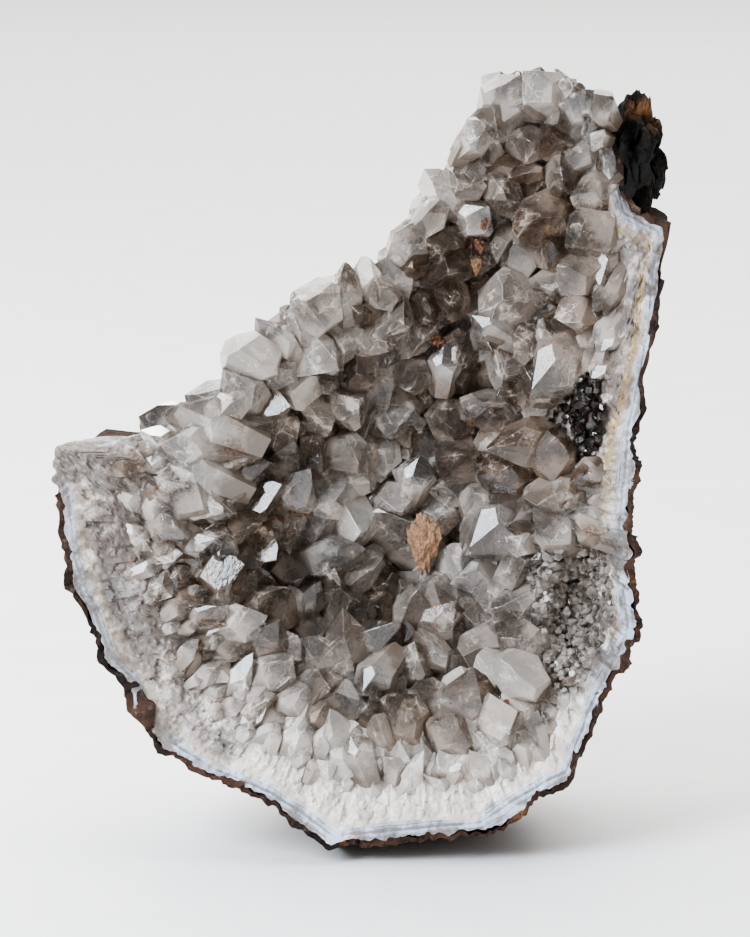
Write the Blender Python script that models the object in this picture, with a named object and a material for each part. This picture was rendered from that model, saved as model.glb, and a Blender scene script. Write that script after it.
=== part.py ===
"""A broken piece of a quartz geode with goethite, standing on the lower edge of its rock skin.

Metres, +Z up, front towards -Y. The origin is on the foot's plane, under the middle of the whole piece.
The geode is a bowl. Its broken rim faces the front, its skin is behind, and the cavity is lined with
six-sided quartz points. A place on it is given by a direction round the bowl's axis and by how far it
lies along the skin, across the rim or down the cavity wall.
"""

import math
import random

import bmesh
import bpy
from mathutils import Matrix, Vector, noise

MM = 0.001

# Outer edge of the broken rim, from the bowl's axis: to the right, up, and how far back (mm).
RIM_OUTER = (
    (-131, 33, -22), (-131, 22, -25), (-128, -9, -30), (-114, -46, -37), (-105, -56, -38), (-103, -67, -40),
    (-91, -79, -43), (-75, -89, -46), (-51, -98, -50), (-27, -115, -52), (0, -112, -52), (30, -110, -51),
    (49, -98, -50), (64, -90, -47), (75, -63, -44), (89, -36, -40), (87, -11, -36), (86, 6, -32),
    (89, 44, -24), (96, 81, -14), (97, 99, -8), (100, 115, -2), (86, 122, 2), (76, 161, 10),
    (53, 170, 14), (34, 163, 17), (23, 135, 14), (0, 112, 10), (-11, 92, 8), (-27, 89, 5),
    (-38, 84, 3), (-43, 74, 0), (-61, 68, -2), (-66, 50, -6), (-95, 39, -14), (-114, 32, -20),
)
# Inner edge of the rim, where the cavity begins, given in the same way (mm).
RIM_INNER = (
    (-80, 40, -14), (-75, 11, -16), (-74, -8, -19), (-66, -35, -25), (-59, -50, -28), (-42, -65, -33),
    (-27, -72, -36), (-10, -75, -38), (30, -75, -38), (46, -68, -36), (53, -41, -28), (59, -11, -20),
    (62, 11, -15), (65, 49, -9), (72, 93, 0), (73, 138, 8), (65, 158, 14), (53, 165, 16),
    (38, 158, 17), (27, 132, 16), (4, 106, 12), (-8, 87, 10), (-25, 84, 7), (-34, 79, 5),
    (-39, 69, 2), (-57, 63, 0), (-62, 46, -5), (-72, 42, -10),
)

BACK_DEPTH = 66 * MM
CAVITY_DEPTH = 22 * MM
SIDE_ROUNDNESS = 2.3
UNDERSIDE_ROUNDNESS = 4.2
CAVITY_ROUNDNESS = 2.6
UNDERSIDE_BULGE = 15 * MM
UNDERSIDE_SETBACK = 1.5

RIND_AT_RIM = 2.4 * MM
RIND_AT_BACK = 11 * MM
BOND_GAP = 0.35 * MM

# The broken top left, where the rind is gone and the fracture runs over the edge (degrees round the axis).
BREAK_FROM = 62.0
BREAK_TO = 172.0
BREAK_FADE = 16.0
BREAK_DEPTH = 0.34
BREAK_SIDE_SHARE = 1.6

# The hollow in the rim at the lower right, by direction (degrees) and depth.
RECESS_AT = -20.0
RECESS_SPREAD = 15.0
RECESS_DEPTH = 11 * MM
# The step at its sharp upper edge: depth, and the directions where it begins, is full, fades and ends.
STEP_DEPTH = 8 * MM
STEP_DIRECTIONS = (-0.5, -5.0, -33.0, -46.0)
STEP_ACROSS = (0.12, 0.35)

DIRECTIONS = 56
SKIN_RINGS = 9
RIM_RINGS = 5
CAVITY_RINGS = 6

# The skin's relief: height and size of its lumps and grit. It fades towards the rim from FADE_START,
# at FADE_RATE. It stands along a direction that leans to the back by SKIN_BACKWARD. The patterns are
# offsets that choose the place in the noise.
SKIN_LUMPS = 7.0 * MM
SKIN_LUMP_SIZE = 42 * MM
SKIN_LUMP_PATTERN = Vector((3.0, 1.0, 2.0))
SKIN_GRIT = 2.6 * MM
SKIN_GRIT_SIZE = 15 * MM
SKIN_GRIT_PATTERN = Vector((7.0, 5.0, 9.0))
SKIN_BACKWARD = 1.3
FADE_START = 1.05
FADE_RATE = 4.0
RIM_ROUGHNESS = 3.0 * MM
RIM_ROUGHNESS_SIZE = 16 * MM
RIM_CROWN = 3.0 * MM
WIDE_RIM = 20 * MM
NARROWEST_RIM = 2 * MM
WALL_LUMPS = 4.0 * MM
WALL_LUMP_SIZE = 40 * MM
WALL_PATTERN = Vector((1.0, 4.0, 2.0))
# How far apart the points lie that give the wall's outward direction (radians, and share of the way out).
NEARBY_ANGLE = 0.05
NEARBY_SHARE = 0.03

FOOT_CUT = 3.5 * MM
WELD_DISTANCE = 1e-7

LOBE_CENTRE = (88.5 * MM, 136 * MM, 21 * MM)
LOBE_HALF_SIZE = (11 * MM, 21 * MM, 21 * MM)
LOBE_RUGGEDNESS = 0.45
LOBE_LUMPS_ACROSS = 2.1
LOBE_PATTERN = Vector((2.0, 8.0, 4.0))
LOBE_CLEARANCE = 1.0 * MM
POINT_CLEARANCE = 0.8 * MM
EDGE_POINTS_FROM = 0.8

# The large points that stand out: right and up from the bowl's axis, radius, lean right, lean up
# (mm and degrees). A point leans away from the wall's own outward direction.
LARGE_POINTS = (
    (-32, 77, 9.5, -22, 30), (-53, 57, 10, -26, 26), (-66, 42, 8, -25, 22), (-40, 48, 9, -10, 10),
    (-16, 55, 9, -18, 8), (-9, 84, 8, -20, 28), (3, 60, 8, 12, 4), (4, 99, 7.5, -26, 18),
    (17, 102, 8, 18, -4), (22, 116, 7, -28, 16), (38, 88, 12, 6, 6), (40, 63, 10, 10, -6),
    (31, 113, 8, 5, 12), (31, 137, 8, -28, 14), (50, 128, 8.5, 8, 8), (52, 156, 8, -6, 30),
    (63, 133, 8, 12, 2), (-23, 62, 8, 20, -10), (-7, 22, 9, -8, 14), (7, 17, 8, 6, 8),
    (38, 152, 7.5, -22, 26), (66, 150, 7, 10, 28), (-20, 80, 7.5, -8, 30), (-43, 65, 7.5, -20, 26),
    (27, -8, 10, -4, 26), (13, -25, 9, 8, 6), (-22, -22, 11, -12, 6), (-38, -30, 9, 12, 12),
    (-12, -50, 11, 4, 14), (-50, -58, 10, 24, 14), (-30, 3, 10, -6, -4), (-62, -18, 9, 24, 0),
    (-68, 5, 8, 24, 6), (-72, 26, 8, 20, -6), (28, -48, 11, -10, 16), (42, -38, 9, -16, 6),
    (-38, 22, 10, 14, -6), (5, 40, 9, -6, -4), (58, 40, 9, -22, 2), (60, 75, 9, -18, 4),
    (-12, 0, 10, 6, 2), (48, 20, 9, -12, -4), (24, 34, 9, 10, 8), (-55, 26, 9, -4, -8),
)
SMALL_POINTS = 40
SMALL_POINT_SHARE = 0.85
SMALL_POINT_RADII = (5.5 * MM, 8.0 * MM)
POINT_SPACING = 12.5 * MM
POINT_TRIES = 4000
POINT_ROOT = 0.9
POINT_SHAFT = 1.0
POINT_TIP = 1.15
POINT_TAPER = 0.96
TIP_OFFSET = 0.28
FORWARD_LEAN = 0.35
SMALL_POINT_LEAN = 16.0

QUARTZ_COLOUR = (0.62, 0.58, 0.55, 1.0)
RIND_COLOUR = (0.10, 0.055, 0.04, 1.0)
QUARTZ_ROUGHNESS = 0.25
RIND_ROUGHNESS = 0.85
SEED = 7


def remove_everything():
    """Empties the scene."""
    for old in list(bpy.data.objects):
        bpy.data.objects.remove(old, do_unlink=True)


def new_collection(name):
    """Adds a named collection to the scene."""
    collection = bpy.data.collections.new(name)
    bpy.context.scene.collection.children.link(collection)
    return collection


def add_object(name, mesh_data, collection):
    """Makes an object from a bmesh and frees the bmesh."""
    mesh = bpy.data.meshes.new(name)
    mesh_data.to_mesh(mesh)
    mesh_data.free()
    thing = bpy.data.objects.new(name, mesh)
    collection.objects.link(thing)
    return thing


def edge_at(outline, angle):
    """Where a ray from the bowl's axis meets an outline: its distance and how far back it lies."""
    ray = Vector((math.cos(angle), math.sin(angle)))
    side = Vector((-ray.y, ray.x))
    for first, second in zip(outline, outline[1:] + outline[:1]):
        start = Vector(first[:2])
        stop = Vector(second[:2])
        before = start.dot(side)
        after = stop.dot(side)
        if before > 0.0 or after <= 0.0:
            continue
        share = before / (before - after)
        reach = start.lerp(stop, share).dot(ray)
        if reach > 0.0:
            depth = first[2] + (second[2] - first[2]) * share
            return reach * MM, depth * MM
    raise ValueError("the outline does not go round the axis")


def from_axis(angle, reach, depth):
    """A point in space from its direction, distance from the bowl's axis and depth."""
    return Vector((reach * math.cos(angle), depth, reach * math.sin(angle)))


def rind_cover(angle):
    """How far the rock rind still covers the skin: 1 to the rim, less where the top left broke off."""
    turn = math.degrees(angle) % 360
    into = min(1.0, max(0.0, (turn - BREAK_FROM) / BREAK_FADE))
    out_of = min(1.0, max(0.0, (BREAK_TO - turn) / BREAK_FADE))
    return 1.0 - BREAK_DEPTH * into * out_of


def skin_point(angle, along, inset):
    """A point on the rock skin, or under it by an inset: along is 0 at the back's middle and 1 at the rim."""
    reach, rim_depth = edge_at(RIM_OUTER, angle)
    under = max(0.0, -math.sin(angle)) ** 2
    power = 2 / (SIDE_ROUNDNESS + (UNDERSIDE_ROUNDNESS - SIDE_ROUNDNESS) * under)
    turn = along * math.pi / 2
    out = math.sin(turn) ** power
    back = math.cos(turn) ** power
    bulge = UNDERSIDE_BULGE * under ** 2 * math.sin(math.pi * back ** UNDERSIDE_SETBACK) * out
    point = from_axis(angle, reach * out + bulge, rim_depth + (BACK_DEPTH - rim_depth) * back)
    away = Vector((point.x, (point.y - rim_depth) * SKIN_BACKWARD, point.z)).normalized()
    lump = noise.noise(point / SKIN_LUMP_SIZE + SKIN_LUMP_PATTERN) * SKIN_LUMPS
    grit = noise.noise(point / SKIN_GRIT_SIZE + SKIN_GRIT_PATTERN) * SKIN_GRIT
    return point + away * ((lump + grit) * min(1.0, FADE_RATE * (FADE_START - along)) - inset)


def rind_thickness(along):
    """How thick the rock rind is, from the back's middle to the rim."""
    return RIND_AT_RIM + (RIND_AT_BACK - RIND_AT_RIM) * math.sqrt(max(0.0, 1.0 - along))


def ramp(value, low, high):
    """A smooth step from 0 at low to 1 at high."""
    share = min(1.0, max(0.0, (value - low) / (high - low)))
    return share * share * (3.0 - 2.0 * share)


def recess_step(angle, inward):
    """How far the broken face lies back at the lower right, behind the sharp upper edge of the hollow."""
    begin, full, fade, end = STEP_DIRECTIONS
    degrees = math.degrees(angle)
    inside = ramp(degrees, begin, full) * (1.0 - ramp(degrees, fade, end))
    return STEP_DEPTH * inside * ramp(inward, *STEP_ACROSS)


def rim_point(angle, across):
    """A point on the broken face: across is 0 at the rind's edge and 1 where the cavity begins."""
    cover = rind_cover(angle)
    side_share = BREAK_SIDE_SHARE * (1.0 - cover)
    if across < side_share:
        forward = across / side_share
        along = cover + (1.0 - cover) * forward
        return skin_point(angle, along, (rind_thickness(cover) + BOND_GAP) * (1.0 - forward))
    edge = skin_point(angle, 1.0, rind_thickness(1.0) + BOND_GAP)
    inward = (across - side_share) / (1.0 - side_share)
    reach = math.hypot(edge.x, edge.z)
    inner_reach, inner_depth = edge_at(RIM_INNER, angle)
    width = max(reach - inner_reach, NARROWEST_RIM)
    place = from_axis(angle, reach - width * inward, edge.y + (inner_depth - edge.y) * inward)
    rough = noise.noise(place / RIM_ROUGHNESS_SIZE) * RIM_ROUGHNESS
    dent = RECESS_DEPTH * math.exp(-(((math.degrees(angle) - RECESS_AT) / RECESS_SPREAD) ** 2))
    swell = math.sin(math.pi * inward) * min(1.0, width / WIDE_RIM)
    return place + Vector((0.0, (rough - RIM_CROWN + dent) * swell + recess_step(angle, inward), 0.0))


def cavity_point(angle, outward):
    """A point on the cavity wall: outward is 0 at the bottom of the bowl and 1 at the rim's inner edge."""
    edge = rim_point(angle, 1.0)
    reach = math.hypot(edge.x, edge.z)
    depth = edge.y + (CAVITY_DEPTH - edge.y) * (1.0 - outward ** CAVITY_ROUNDNESS)
    place = from_axis(angle, reach * outward, depth)
    lump = noise.noise(place / WALL_LUMP_SIZE + WALL_PATTERN)
    return place + Vector((0.0, lump * WALL_LUMPS * (1.0 - outward ** 4), 0.0))


def shaped_sphere(rings, place):
    """A sphere whose rings, counted from the back, are moved to the points that place gives."""
    bm = bmesh.new()
    bmesh.ops.create_uvsphere(bm, u_segments=DIRECTIONS, v_segments=rings, radius=1.0)
    for vert in bm.verts:
        ring = round(math.acos(max(-1.0, min(1.0, vert.co.z))) / math.pi * rings)
        angle = math.atan2(vert.co.y, vert.co.x)
        if ring in (0, rings):
            angle = 0.0
        vert.co = place(ring, angle)
    bmesh.ops.triangulate(bm, faces=bm.faces)
    bmesh.ops.recalc_face_normals(bm, faces=bm.faces)
    if bm.calc_volume(signed=True) < 0:
        bmesh.ops.reverse_faces(bm, faces=bm.faces)
    return bm


def quartz_base():
    """The quartz without its points: skin side, rim and cavity wall."""
    rings = SKIN_RINGS + RIM_RINGS + CAVITY_RINGS

    def place(ring, angle):
        if ring < SKIN_RINGS:
            along = ring / SKIN_RINGS * rind_cover(angle)
            return skin_point(angle, along, rind_thickness(along) + BOND_GAP)
        if ring <= SKIN_RINGS + RIM_RINGS:
            return rim_point(angle, (ring - SKIN_RINGS) / RIM_RINGS)
        return cavity_point(angle, (rings - ring) / CAVITY_RINGS)

    return shaped_sphere(rings, place)


def rind_shell():
    """The rock skin as a closed bowl: outer side, edge and the side against the quartz."""
    rings = 2 * SKIN_RINGS + 1

    def place(ring, angle):
        along = min(ring, rings - ring) / SKIN_RINGS * rind_cover(angle)
        inset = rind_thickness(along) if ring > SKIN_RINGS else 0.0
        return skin_point(angle, along, inset)

    return shaped_sphere(rings, place)


def quartz_crystal(radius, lean, roll):
    """A six-sided quartz crystal standing on +Z with its root below the origin and an uneven tip."""
    root = POINT_ROOT * radius
    shaft = POINT_SHAFT * radius
    bm = bmesh.new()
    middle = Matrix.Translation((0.0, 0.0, (shaft - root) / 2)) @ Matrix.Rotation(roll, 4, "Z")
    bmesh.ops.create_cone(
        bm,
        cap_ends=True,
        segments=6,
        radius1=radius * POINT_TAPER,
        radius2=radius,
        depth=shaft + root,
        matrix=middle,
    )
    cap = max(bm.faces, key=lambda face: face.calc_center_median().z)
    tip = bmesh.ops.poke(bm, faces=[cap])["verts"][0]
    tip.co += Vector((lean[0] * radius, lean[1] * radius, POINT_TIP * radius))
    bmesh.ops.triangulate(bm, faces=bm.faces)
    return bm


def wall_place(right, up):
    """The place on the wall in front of the given point, and the wall's outward direction there."""
    angle = math.atan2(up, right)
    edge = rim_point(angle, 1.0)
    outward = min(1.0 - NEARBY_SHARE, math.hypot(right, up) / math.hypot(edge.x, edge.z))
    place = cavity_point(angle, outward)
    beside = cavity_point(angle + NEARBY_ANGLE, outward) - cavity_point(angle - NEARBY_ANGLE, outward)
    inward = cavity_point(angle, outward - NEARBY_SHARE) - cavity_point(angle, outward + NEARBY_SHARE)
    normal = beside.cross(inward).normalized()
    if normal.y > 0:
        normal.negate()
    return place, normal


def leaning(normal, right_degrees, up_degrees):
    """The turn that stands a crystal along the wall's outward direction with the given lean."""
    lean_right = math.tan(math.radians(right_degrees))
    lean_up = math.tan(math.radians(up_degrees))
    axis = normal + Vector((lean_right, -FORWARD_LEAN, lean_up))
    return axis.normalized().to_track_quat("Z", "Y").to_matrix().to_4x4()


def standing_crystal(right, up, radius, right_degrees, up_degrees, dice):
    """One crystal standing on the cavity wall, as a mesh."""
    place, normal = wall_place(right, up)
    lean = (dice.uniform(-TIP_OFFSET, TIP_OFFSET), dice.uniform(-TIP_OFFSET, TIP_OFFSET))
    crystal = quartz_crystal(radius, lean, dice.uniform(0.0, math.pi / 3))
    bmesh.ops.transform(crystal, matrix=leaning(normal, right_degrees, up_degrees), verts=crystal.verts)
    bmesh.ops.translate(crystal, vec=place, verts=crystal.verts)
    mesh = bpy.data.meshes.new("point")
    crystal.to_mesh(mesh)
    crystal.free()
    return mesh


def is_near_edge(right, up):
    """Whether a place on the wall is so close to the edge that a crystal's root could reach the rind."""
    edge = rim_point(math.atan2(up, right), 1.0)
    return math.hypot(right, up) > EDGE_POINTS_FROM * math.hypot(edge.x, edge.z)


def quartz_points():
    """Every crystal's mesh and place: the large ones where they stand out, small ones in the spaces left."""
    dice = random.Random(SEED)
    points = []
    taken = []
    for right, up, radius, lean_right, lean_up in LARGE_POINTS:
        spot = (right * MM, up * MM)
        points.append((standing_crystal(spot[0], spot[1], radius * MM, lean_right, lean_up, dice), spot))
        taken.append(spot)
    placed = 0
    for _ in range(POINT_TRIES):
        angle = dice.uniform(-math.pi, math.pi)
        edge = rim_point(angle, 1.0)
        reach = math.hypot(edge.x, edge.z) * math.sqrt(dice.uniform(0.0, SMALL_POINT_SHARE))
        spot = (reach * math.cos(angle), reach * math.sin(angle))
        if min(math.dist(spot, other) for other in taken) < POINT_SPACING:
            continue
        taken.append(spot)
        radius = dice.uniform(*SMALL_POINT_RADII)
        tilt = (dice.gauss(0.0, SMALL_POINT_LEAN), dice.gauss(0.0, SMALL_POINT_LEAN))
        points.append((standing_crystal(spot[0], spot[1], radius, tilt[0], tilt[1], dice), spot))
        placed += 1
        if placed == SMALL_POINTS:
            break
    return points


def rock_lobe(collection):
    """The rugged black-brown lobe of host rock behind the top right of the rim."""
    bm = bmesh.new()
    bmesh.ops.create_icosphere(bm, subdivisions=3, radius=1.0)
    for vert in bm.verts:
        rugged = 1.0 + LOBE_RUGGEDNESS * noise.noise(vert.co * LOBE_LUMPS_ACROSS + LOBE_PATTERN)
        half_right, half_up, half_deep = LOBE_HALF_SIZE
        vert.co = Vector((vert.co.x * half_right, vert.co.y * half_deep, vert.co.z * half_up)) * rugged
    right, up, deep = LOBE_CENTRE
    bmesh.ops.translate(bm, vec=(right, deep, up), verts=bm.verts)
    return add_object("lobe", bm, collection)


def apply_boolean(target, cutter, operation):
    """Joins or cuts the target with the cutter and keeps the result as its mesh."""
    modifier = target.modifiers.new(operation.lower(), "BOOLEAN")
    modifier.operation = operation
    modifier.solver = "EXACT"
    modifier.object = cutter
    graph = bpy.context.evaluated_depsgraph_get()
    result = bpy.data.meshes.new_from_object(target.evaluated_get(graph))
    target.modifiers.remove(modifier)
    target.data = result


def cut_flat_foot(thing, level):
    """Cuts away all that lies below the foot's plane and closes the cut with a flat face."""
    bm = bmesh.new()
    bm.from_mesh(thing.data)
    geometry = bm.verts[:] + bm.edges[:] + bm.faces[:]
    plane_point = Vector((0.0, 0.0, level))
    bmesh.ops.bisect_plane(
        bm, geom=geometry, plane_co=plane_point, plane_no=(0, 0, -1), clear_outer=True, dist=WELD_DISTANCE
    )
    open_edges = [edge for edge in bm.edges if edge.is_boundary]
    bmesh.ops.holes_fill(bm, edges=open_edges, sides=0)
    bmesh.ops.triangulate(bm, faces=[face for face in bm.faces if len(face.verts) > 3])
    bm.to_mesh(thing.data)
    bm.free()


def stone_material(name, colour, roughness):
    """A Principled material of one colour."""
    material = bpy.data.materials.new(name)
    material.use_nodes = True
    shader = material.node_tree.nodes["Principled BSDF"]
    shader.inputs["Base Color"].default_value = colour
    shader.inputs["Roughness"].default_value = roughness
    shader.inputs["Metallic"].default_value = 0.0
    return material


def show_as_cutter(thing):
    """Shows a shape that only joins or cuts others as a wire, and leaves it out of pictures."""
    thing.hide_render = True
    thing.display_type = "WIRE"


def grown_copy(source, distance, collection):
    """A copy of a solid whose surface stands out by a distance."""
    bm = bmesh.new()
    bm.from_mesh(source.data)
    bm.normal_update()
    moves = [(vert, vert.normal.copy()) for vert in bm.verts]
    for vert, normal in moves:
        vert.co += normal * distance
    grown = add_object(source.name + "_clearance", bm, collection)
    show_as_cutter(grown)
    return grown


def build_geode():
    """Builds the quartz and its rock rind, and stands them on the foot over the origin."""
    remove_everything()
    parts = new_collection("goethite_in_quartz")
    cutters = new_collection("cutters")
    cutters.hide_render = True

    quartz = add_object("quartz_lining", quartz_base(), parts)
    rind = add_object("rock_rind", rind_shell(), parts)

    clearance = grown_copy(quartz, LOBE_CLEARANCE, cutters)
    lobe = rock_lobe(cutters)
    show_as_cutter(lobe)
    apply_boolean(lobe, clearance, "DIFFERENCE")
    apply_boolean(rind, lobe, "UNION")

    for mesh, spot in quartz_points():
        crystal = bpy.data.objects.new("point", mesh)
        cutters.objects.link(crystal)
        show_as_cutter(crystal)
        apply_boolean(quartz, crystal, "UNION")
        if is_near_edge(*spot):
            apply_boolean(rind, grown_copy(crystal, POINT_CLEARANCE, cutters), "DIFFERENCE")

    level = min(vert.co.z for vert in rind.data.vertices) + FOOT_CUT
    for thing in (quartz, rind):
        cut_flat_foot(thing, level)
    for cutter in list(cutters.objects):
        bpy.data.objects.remove(cutter, do_unlink=True)

    corners = [vert.co for thing in (quartz, rind) for vert in thing.data.vertices]
    middle_right = (min(co.x for co in corners) + max(co.x for co in corners)) / 2
    middle_deep = (min(co.y for co in corners) + max(co.y for co in corners)) / 2
    for thing in (quartz, rind):
        thing.data.transform(Matrix.Translation((-middle_right, -middle_deep, -level)))
        thing.data.materials.clear()
    quartz.data.materials.append(stone_material("quartz", QUARTZ_COLOUR, QUARTZ_ROUGHNESS))
    rind.data.materials.append(stone_material("rock", RIND_COLOUR, RIND_ROUGHNESS))


build_geode()
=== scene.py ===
"""Looks of a quartz geode fragment with goethite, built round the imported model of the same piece.

Metres, +Z up, front towards -Y. A place on the geode is given as in the model: by its direction round the
bowl's axis and by how far it lies along the skin, across the broken face or down the cavity wall.
"""

import logging
import math
import random
from collections.abc import Callable
from dataclasses import dataclass, field
from enum import Enum
from functools import lru_cache
from typing import ClassVar, Optional, Union

import bmesh
import bpy
from mathutils import Matrix, Vector, noise


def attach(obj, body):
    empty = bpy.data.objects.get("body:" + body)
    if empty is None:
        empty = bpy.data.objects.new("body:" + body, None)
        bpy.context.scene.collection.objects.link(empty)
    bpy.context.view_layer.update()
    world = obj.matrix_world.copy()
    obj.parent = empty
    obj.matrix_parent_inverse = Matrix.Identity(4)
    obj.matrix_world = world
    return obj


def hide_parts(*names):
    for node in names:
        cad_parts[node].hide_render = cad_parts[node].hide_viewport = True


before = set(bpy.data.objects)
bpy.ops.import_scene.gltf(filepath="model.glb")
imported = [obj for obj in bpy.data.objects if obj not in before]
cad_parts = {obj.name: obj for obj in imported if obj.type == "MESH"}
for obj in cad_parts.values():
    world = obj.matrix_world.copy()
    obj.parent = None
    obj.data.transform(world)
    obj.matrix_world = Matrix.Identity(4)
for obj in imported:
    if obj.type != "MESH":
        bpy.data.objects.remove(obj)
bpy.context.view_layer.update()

LOG = logging.getLogger("geode")
MM = 0.001
ROOT = "root"
QUARTZ_NODE = "quartz_lining"
ROCK_NODE = "rock_rind"
Colour = tuple[float, float, float]
Limits = tuple[float, float]
Socket = bpy.types.NodeSocket
Value = Union[Socket, Colour, float]
CHIP_HEIGHT_STEP = 3.7
CHIP_TILT_STEP = 5.3
CHIP_TILT = 1.8
RIDGE = (78.0, 132.0, -0.33, 7.0, 24.0)


def clamp(value: float, low: float = 0.0, high: float = 1.0) -> float:
    """Keeps a value between two limits."""
    return max(low, min(high, value))


def ramp(value: float, low: float, high: float) -> float:
    """A smooth step from 0 at low to 1 at high."""
    share = clamp((value - low) / (high - low))
    return share * share * (3.0 - 2.0 * share)


def bump_at(angle: float, middle: float, spread: float) -> float:
    """A soft bump of height 1 round a direction.

    Args:
        angle: direction in degrees.
        middle: the bump's own direction in degrees.
        spread: its half width in degrees.

    Returns:
        The bump's height at the direction.
    """
    apart = (angle - middle + 180.0) % 360.0 - 180.0
    return math.exp(-((apart / spread) ** 2))


def chips(point: Vector, seed: float) -> float:
    """The relief of broken crystal: each cell is a flat chip with its own height and tilt.

    Args:
        point: place in units of one chip.
        seed: shifts the pattern.

    Returns:
        The relief, about -1 to 1.
    """
    shifted = point + Vector((seed, 2.0 * seed, 3.0 * seed))
    heart = noise.voronoi(shifted)[1][0]
    tilt = noise.noise_vector(heart * CHIP_TILT_STEP)
    return noise.noise(heart * CHIP_HEIGHT_STEP) + (shifted - heart).dot(tilt) * CHIP_TILT


@dataclass(frozen=True, eq=False)
class GeodeShape:
    """The geode's own form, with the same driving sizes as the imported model."""

    axis: Vector = Vector((14.749 * MM, -8.299 * MM, 120.778 * MM)).freeze()
    rim_outer: tuple = (
        (-131, 33, -22), (-131, 22, -25), (-128, -9, -30), (-114, -46, -37), (-105, -56, -38),
        (-103, -67, -40), (-91, -79, -43), (-75, -89, -46), (-51, -98, -50), (-27, -115, -52),
        (0, -112, -52), (30, -110, -51), (49, -98, -50), (64, -90, -47), (75, -63, -44), (89, -36, -40),
        (87, -11, -36), (86, 6, -32), (89, 44, -24), (96, 81, -14), (97, 99, -8), (100, 115, -2),
        (86, 122, 2), (76, 161, 10), (53, 170, 14), (34, 163, 17), (23, 135, 14), (0, 112, 10),
        (-11, 92, 8), (-27, 89, 5), (-38, 84, 3), (-43, 74, 0), (-61, 68, -2), (-66, 50, -6),
        (-95, 39, -14), (-114, 32, -20),
    )
    rim_inner: tuple = (
        (-80, 40, -14), (-75, 11, -16), (-74, -8, -19), (-66, -35, -25), (-59, -50, -28), (-42, -65, -33),
        (-27, -72, -36), (-10, -75, -38), (30, -75, -38), (46, -68, -36), (53, -41, -28), (59, -11, -20),
        (62, 11, -15), (65, 49, -9), (72, 93, 0), (73, 138, 8), (65, 158, 14), (53, 165, 16), (38, 158, 17),
        (27, 132, 16), (4, 106, 12), (-8, 87, 10), (-25, 84, 7), (-34, 79, 5), (-39, 69, 2), (-57, 63, 0),
        (-62, 46, -5), (-72, 42, -10),
    )
    back_depth: float = 66 * MM
    cavity_depth: float = 22 * MM
    side_roundness: float = 2.3
    underside_roundness: float = 4.2
    cavity_roundness: float = 2.6
    underside_bulge: float = 15 * MM
    underside_setback: float = 1.5
    rind_at_rim: float = 2.4 * MM
    rind_at_back: float = 11 * MM
    break_from: float = 62.0
    break_to: float = 172.0
    break_fade: float = 16.0
    break_depth: float = 0.34
    break_side_share: float = 1.6
    recess_at: float = -20.0
    recess_spread: float = 15.0
    recess_depth: float = 11 * MM
    recess_step: float = 8 * MM
    skin_lumps: float = 7.0 * MM
    skin_lump_size: float = 42 * MM
    skin_grit: float = 2.6 * MM
    skin_grit_size: float = 15 * MM
    rim_roughness: float = 3.0 * MM
    rim_roughness_size: float = 16 * MM
    rim_crown: float = 3.0 * MM
    wide_rim: float = 20 * MM
    narrowest_rim: float = 2 * MM
    wall_lumps: float = 4.0 * MM
    wall_lump_size: float = 40 * MM
    wall_lump_fade: int = 4
    wall_edge: float = 0.97
    wall_turn: float = 0.05
    wall_step: float = 0.03
    away_back: float = 1.3
    relief_fade: float = 4.0
    relief_end: float = 1.05
    back_steps: int = 40
    recess_sides: tuple = ((0.5, 5.0), (33.0, 46.0))
    recess_across: tuple = ((0.12, 0.35), (0.8, 1.0))
    recess_rise: float = 0.4
    ragged_waves: tuple = ((9.0, 4.0, 2.6), (27.0, 7.0, 1.5), (75.0, 0.0, 0.9))
    lump_place: Vector = Vector((3.0, 1.0, 2.0)).freeze()
    grit_place: Vector = Vector((7.0, 5.0, 9.0)).freeze()
    wall_place: Vector = Vector((1.0, 4.0, 2.0)).freeze()

    @lru_cache(maxsize=None)
    def edge_at(self, outer: bool, angle: float) -> tuple[float, float]:
        """Where a ray from the axis meets the rim's outer or inner edge.

        Args:
            outer: True for the outer edge.
            angle: direction in radians.

        Returns:
            Distance from the axis and depth behind it.
        """
        outline = self.rim_outer if outer else self.rim_inner
        ray = Vector((math.cos(angle), math.sin(angle)))
        side = Vector((-ray.y, ray.x))
        for first, second in zip(outline, outline[1:] + outline[:1]):
            start, stop = Vector(first[:2]), Vector(second[:2])
            before, after = start.dot(side), stop.dot(side)
            if before > 0.0 or after <= 0.0:
                continue
            share = before / (before - after)
            reach = start.lerp(stop, share).dot(ray)
            if reach > 0.0:
                return reach * MM, (first[2] + (second[2] - first[2]) * share) * MM
        raise ValueError("the outline does not go round the axis")

    def from_axis(self, angle: float, reach: float, depth: float) -> Vector:
        """A point from its direction, distance and depth, still counted from the axis."""
        return Vector((reach * math.cos(angle), depth, reach * math.sin(angle)))

    @lru_cache(maxsize=None)
    def rind_cover(self, angle: float) -> float:
        """How far the rind still covers the skin: 1 to the rim, less where it broke off with the top left.

        Args:
            angle: direction round the axis, in radians.

        Returns:
            1 to the rim, and less where the rind broke off with the top left.
        """
        turn = math.degrees(angle) % 360
        into = clamp((turn - self.break_from) / self.break_fade)
        out_of = clamp((self.break_to - turn) / self.break_fade)
        return 1.0 - self.break_depth * into * out_of

    def rind_thickness(self, along: float) -> float:
        """How thick the rind is, from the back's middle to the rim."""
        return self.rind_at_rim + (self.rind_at_back - self.rind_at_rim) * math.sqrt(max(0.0, 1.0 - along))

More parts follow.
